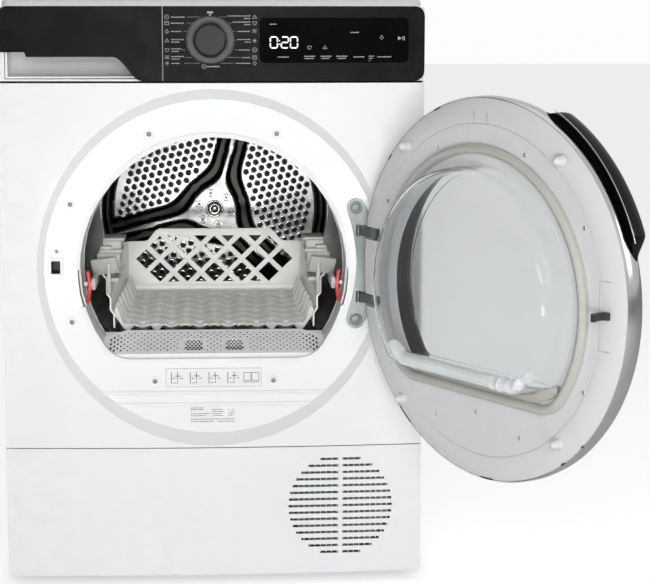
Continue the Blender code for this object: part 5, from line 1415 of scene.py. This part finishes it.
def door_bowl():
    """A clear cup with a thick rolled ledge along its flat bottom, uneven at one end; the ledge is opaque pale
    grey, painted light for the brightness of the thick clear plastic.
    """
    y0, y1 = PLATE_Y - 20 * MM, PLATE_Y + BOWL_REACH
    shape = bmesh.new()
    loops = [[(x, y0 + depth * MM, z) for x, z in mouth(-BOWL_INSET + offset * MM)]
             for offset, depth in CUP_SECTION]
    last = mouth(-BOWL_INSET - 12 * MM)
    for shrink in (0.8, 0.5, 0.2):
        loops.append([(x * shrink, y1, MOUTH_Z + (z - MOUTH_Z) * shrink) for x, z in last])
    rows = skin_loops(shape, loops)
    shape.faces.new(rows[-1])
    cup = changed(mesh_of("door_cup", shape), ("SOLIDIFY", {"thickness": 2.8 * MM, "offset": -1.0}))
    on_door("door_cup", cup, "clear_plastic", ("door_bowl",), 40)
    tube = bmesh.new()
    loops = []
    base = MOUTH_FLAT + BOWL_INSET + 9 * MM
    for i in range(LEDGE_STEPS + 1):
        x = (-128 + 256 * i / LEDGE_STEPS) * MM
        rough = step(-x, 62 * MM, 72 * MM) * (1 - step(-x, 120 * MM, 128 * MM))
        wobble = rough * (2.6 * math.sin(x / MM * 0.42) + 1.5 * math.sin(x / MM * 0.95 + 1)) * MM
        radius = 9.5 * MM - 2.0 * MM * step(abs(x), 110 * MM, 128 * MM) - 1.2 * MM * rough + wobble * 0.6
        middle = base + 15 * MM * step(abs(x), 96 * MM, 128 * MM) ** 2 - 2 * MM * rough + wobble * 0.3
        loops.append([(x, PLATE_Y + 42 * MM + 1.25 * y, middle + z)
                      for y, z in circle(0, 0, radius, LEDGE_SIDES)])
    rows = skin_loops(tube, loops)
    tube.faces.new(rows[0])
    tube.faces.new(list(reversed(rows[-1])))
    on_door("door_cup_ledge", tube, "ledge_painted_light", (), 60)


# ---- cabinet details ----------------------------------------------------------------------------
def mark(shape, x0, x1, z0, z1):
    """A thin printed bar on a label, in mm."""
    add_box(shape, (x0 * MM, FLOOR_Y - 0.36 * MM, z0 * MM), (x1 * MM, FLOOR_Y - 0.27 * MM, z1 * MM))


def outline(shape, x0, x1, z0, z1, w=0.35):
    mark(shape, x0, x1, z0, z0 + w)
    mark(shape, x0, x1, z1 - w, z1)
    mark(shape, x0, x0 + w, z0, z1)
    mark(shape, x1 - w, x1, z0, z1)


def panel_details():
    """Screws, the latch plate's face, pressed ridges, a blank sticker and a blank rating label."""
    seats, screws, ridges = bmesh.new(), bmesh.new(), bmesh.new()
    for x, z, size in ((90, 638, 1.0), (-90, 638, 1.0), (-202, 539, 1.0), (-202, 370, 1.0), (85, 283, 1.0),
                       (-85, 283, 1.0), (-222, 472, 0.7)):
        facing_ring(seats, x * MM, z * MM, FLOOR_Y, -1,
                    tuple((r * size, h) for r, h in ((8.2, -0.1), (7.4, 0.5), (6.4, 0.5), (5.0, 0.03))))
        facing_ring(screws, x * MM, z * MM, FLOOR_Y, -1, tuple((r * size, h) for r, h in SCREW))
    add_piece("panel_screw_seats", seats, "white_paint", "cabinet")
    add_piece("panel_screws", screws, "zinc_steel", "cabinet")
    for z, half, drop in ((266, 167, 2.2), (249, 145, 2.2)):
        rows = []
        for dz, rise in ((3.2, 0.0), (1.8, 1.1), (0.6, 1.7), (-0.8, 1.5), (-3.4, 0.0)):
            row = []
            for i in range(61):
                x = -half + 2 * half * i / 60
                ease = step(half - abs(x), 0, 10)
                row.append((x * MM, FLOOR_Y + 0.1 * MM - rise * drop * 0.6 * ease * MM, (z + dz) * MM))
            rows.append(row)
        skin_loops(ridges, rows, closed=False)
    add_piece("panel_ridges", ridges, "white_paint", "cabinet", (), 60)
    flat_label("care_sticker", -70, 68, 274, 302)
    flat_label("rating_label", -36, 31, 218, 247)
    ink, red = bmesh.new(), bmesh.new()
    outline(ink, -69.5, 67.5, 274.5, 301.5, 0.3)
    for k in range(4):
        x0 = -62 + 27 * k
        mark(ink, x0, x0 + 1.0, 279, 296)
        mark(ink, x0 + 6, x0 + 14, 290, 291)
        mark(ink, x0 + 9, x0 + 10, 284, 296)
        mark(ink, x0 + 3, x0 + 8, 280, 280.8)
        mark(red, x0 + 2, x0 + 6, 286.5, 287.6)
        mark(red, x0 + 13, x0 + 17, 286.5, 287.6)
        mark(red, x0 + 9, x0 + 10.2, 280, 282.5)
    outline(ink, 42, 53, 283, 295, 0.7)
    outline(ink, 53.5, 64.5, 283, 295, 0.7)
    mark(ink, 42, 64.5, 280.5, 281.3)
    for z, spans in ((243, ((-34, -16),)), (240.5, ((-34, -16), (-4, 12), (20, 23), (26, 29))),
                     (237.5, ((-4, 14), (24, 29))), (234.5, ((-34, -6), (-4, 10), (20, 28))),
                     (231.5, ((-34, -12), (-2, 12), (20, 26))), (226.5, ((-34, 29),)),
                     (223, ((-34, 0), (4, 29)))):
        for x0, x1 in spans:
            x = x0
            k = 0
            while x < x1 - 0.8:
                wide = (1.5, 0.9, 2.1, 1.2)[k % 4]
                mark(ink, x, min(x + wide, x1), z, z + 1.1)
                x += wide + 0.7
                k += 1
    add_piece("label_marks", ink, "label_ink", "cabinet")
    add_piece("label_arrows", red, "label_red", "cabinet")
    latch_ring = bmesh.new()
    for x0, x1, z0, z1 in ((-237, -230, 435, 464), (-217, -212, 435, 464), (-230, -217, 458.5, 464),
                           (-230, -217, 435, 440)):
        add_box(latch_ring, (x0 * MM, FLOOR_Y - 2.6 * MM, z0 * MM), (x1 * MM, FLOOR_Y - 1.7 * MM, z1 * MM))
    add_piece("latch_face", latch_ring, "white_plastic", "cabinet")


def flat_label(name, x0, x1, z0, z1):
    """A thin paper label with rounded corners on the recess floor."""
    r = 1.5
    loop = []
    for cx, cz, a in ((x1 - r, z1 - r, 0), (x0 + r, z1 - r, 1), (x0 + r, z0 + r, 2), (x1 - r, z0 + r, 3)):
        loop += [(x * MM, z * MM) for x, z in arc(cx, cz, r, a * math.pi / 2, (a + 1) * math.pi / 2, 4)]
    mesh = mesh_of(name, flat_solid(name, [loop], FLOOR_Y - 0.28 * MM, FLOOR_Y + 0.1 * MM))
    add_piece(name, mesh, "paper", "cabinet")


HINGE_SEAT = ((9.2, -0.1), (8.2, 0.7), (7.0, 0.7), (6.2, 0.1))
HINGE_SCREW = ((5.6, 0.0), (5.2, 1.6), (4.0, 2.0), (2.6, 2.0), (2.2, 0.8), (0.1, 0.8))
KNUCKLE = ((0.1, 0.3), (3.0, 0.3), (3.6, 0.8), (3.6, 2.6), (3.0, 3.1), (0.1, 3.1))


def hinge_details():
    """Screws in both lobes, a fold line, and ribbed knuckles by the arms."""
    face = FLOOR_Y - 2.5 * MM
    screws, rolls = bmesh.new(), bmesh.new()
    middle = sum(ARM_Z) / 2
    for z in (middle + 80.5, middle - 80.5):
        facing_ring(screws, 203 * MM, z * MM, face, -1, HINGE_SEAT, 32)
        facing_ring(screws, 203 * MM, z * MM, face, -1, HINGE_SCREW, 24)
    for z in ARM_Z:
        for k in range(5):
            rows = []
            for radius, along in KNUCKLE:
                level = (z - 8 + 3.2 * k + along) * MM
                rows.append([(x, y, level) for x,
                             y in circle(206.5 * MM, face - 1.5 * MM, radius * MM, 16)])
            skin_loops(rolls, rows)
    add_box(rolls, (214.2 * MM, face - 0.5 * MM, (middle - 62) * MM),
            (214.9 * MM, face + 0.5 * MM, (middle + 62) * MM))
    add_piece("hinge_screws", screws, "zinc_steel", "cabinet", (), 40)
    add_piece("hinge_knuckles", rolls, "zinc_steel", "cabinet", (), 40)


def kick_details():
    """Warm shade behind the low panel's slots."""
    low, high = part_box("grille_louvre")
    disc = circle((low.x + high.x) / 2, (low.z + high.z) / 2, 70 * MM, 48)
    add_piece("slot_shade", flat_solid("slot_shade", [disc], high.y + 0.3 * MM, high.y + 1.5 * MM),
              "slot_dark", "cabinet")


def rear_screws():
    """Screws round the edge of the back panel."""
    shape = bmesh.new()
    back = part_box("rear_panel")[1].y
    for x, z in [(x, z) for x in (-0.27, -0.09, 0.09, 0.27) for z in (0.10, 0.77)] + [
            (x, z) for x in (-0.28, 0.28) for z in (0.3, 0.55)]:
        facing_ring(shape, x, z, back, 1, SCREW)
    add_piece("rear_screws", shape, "zinc_steel", "cabinet", (), 40)


# ---- studio and frame ---------------------------------------------------------------------------
add_camera()
add_studio()
paint_nodes()
print_fascia()
light_display()
drum_back()
drying_rack()
lint_filter()
door_plate()
door_details()
door_rim()
door_handle()
door_seal()
door_bowl()
panel_details()
hinge_details()
kick_details()
rear_screws()
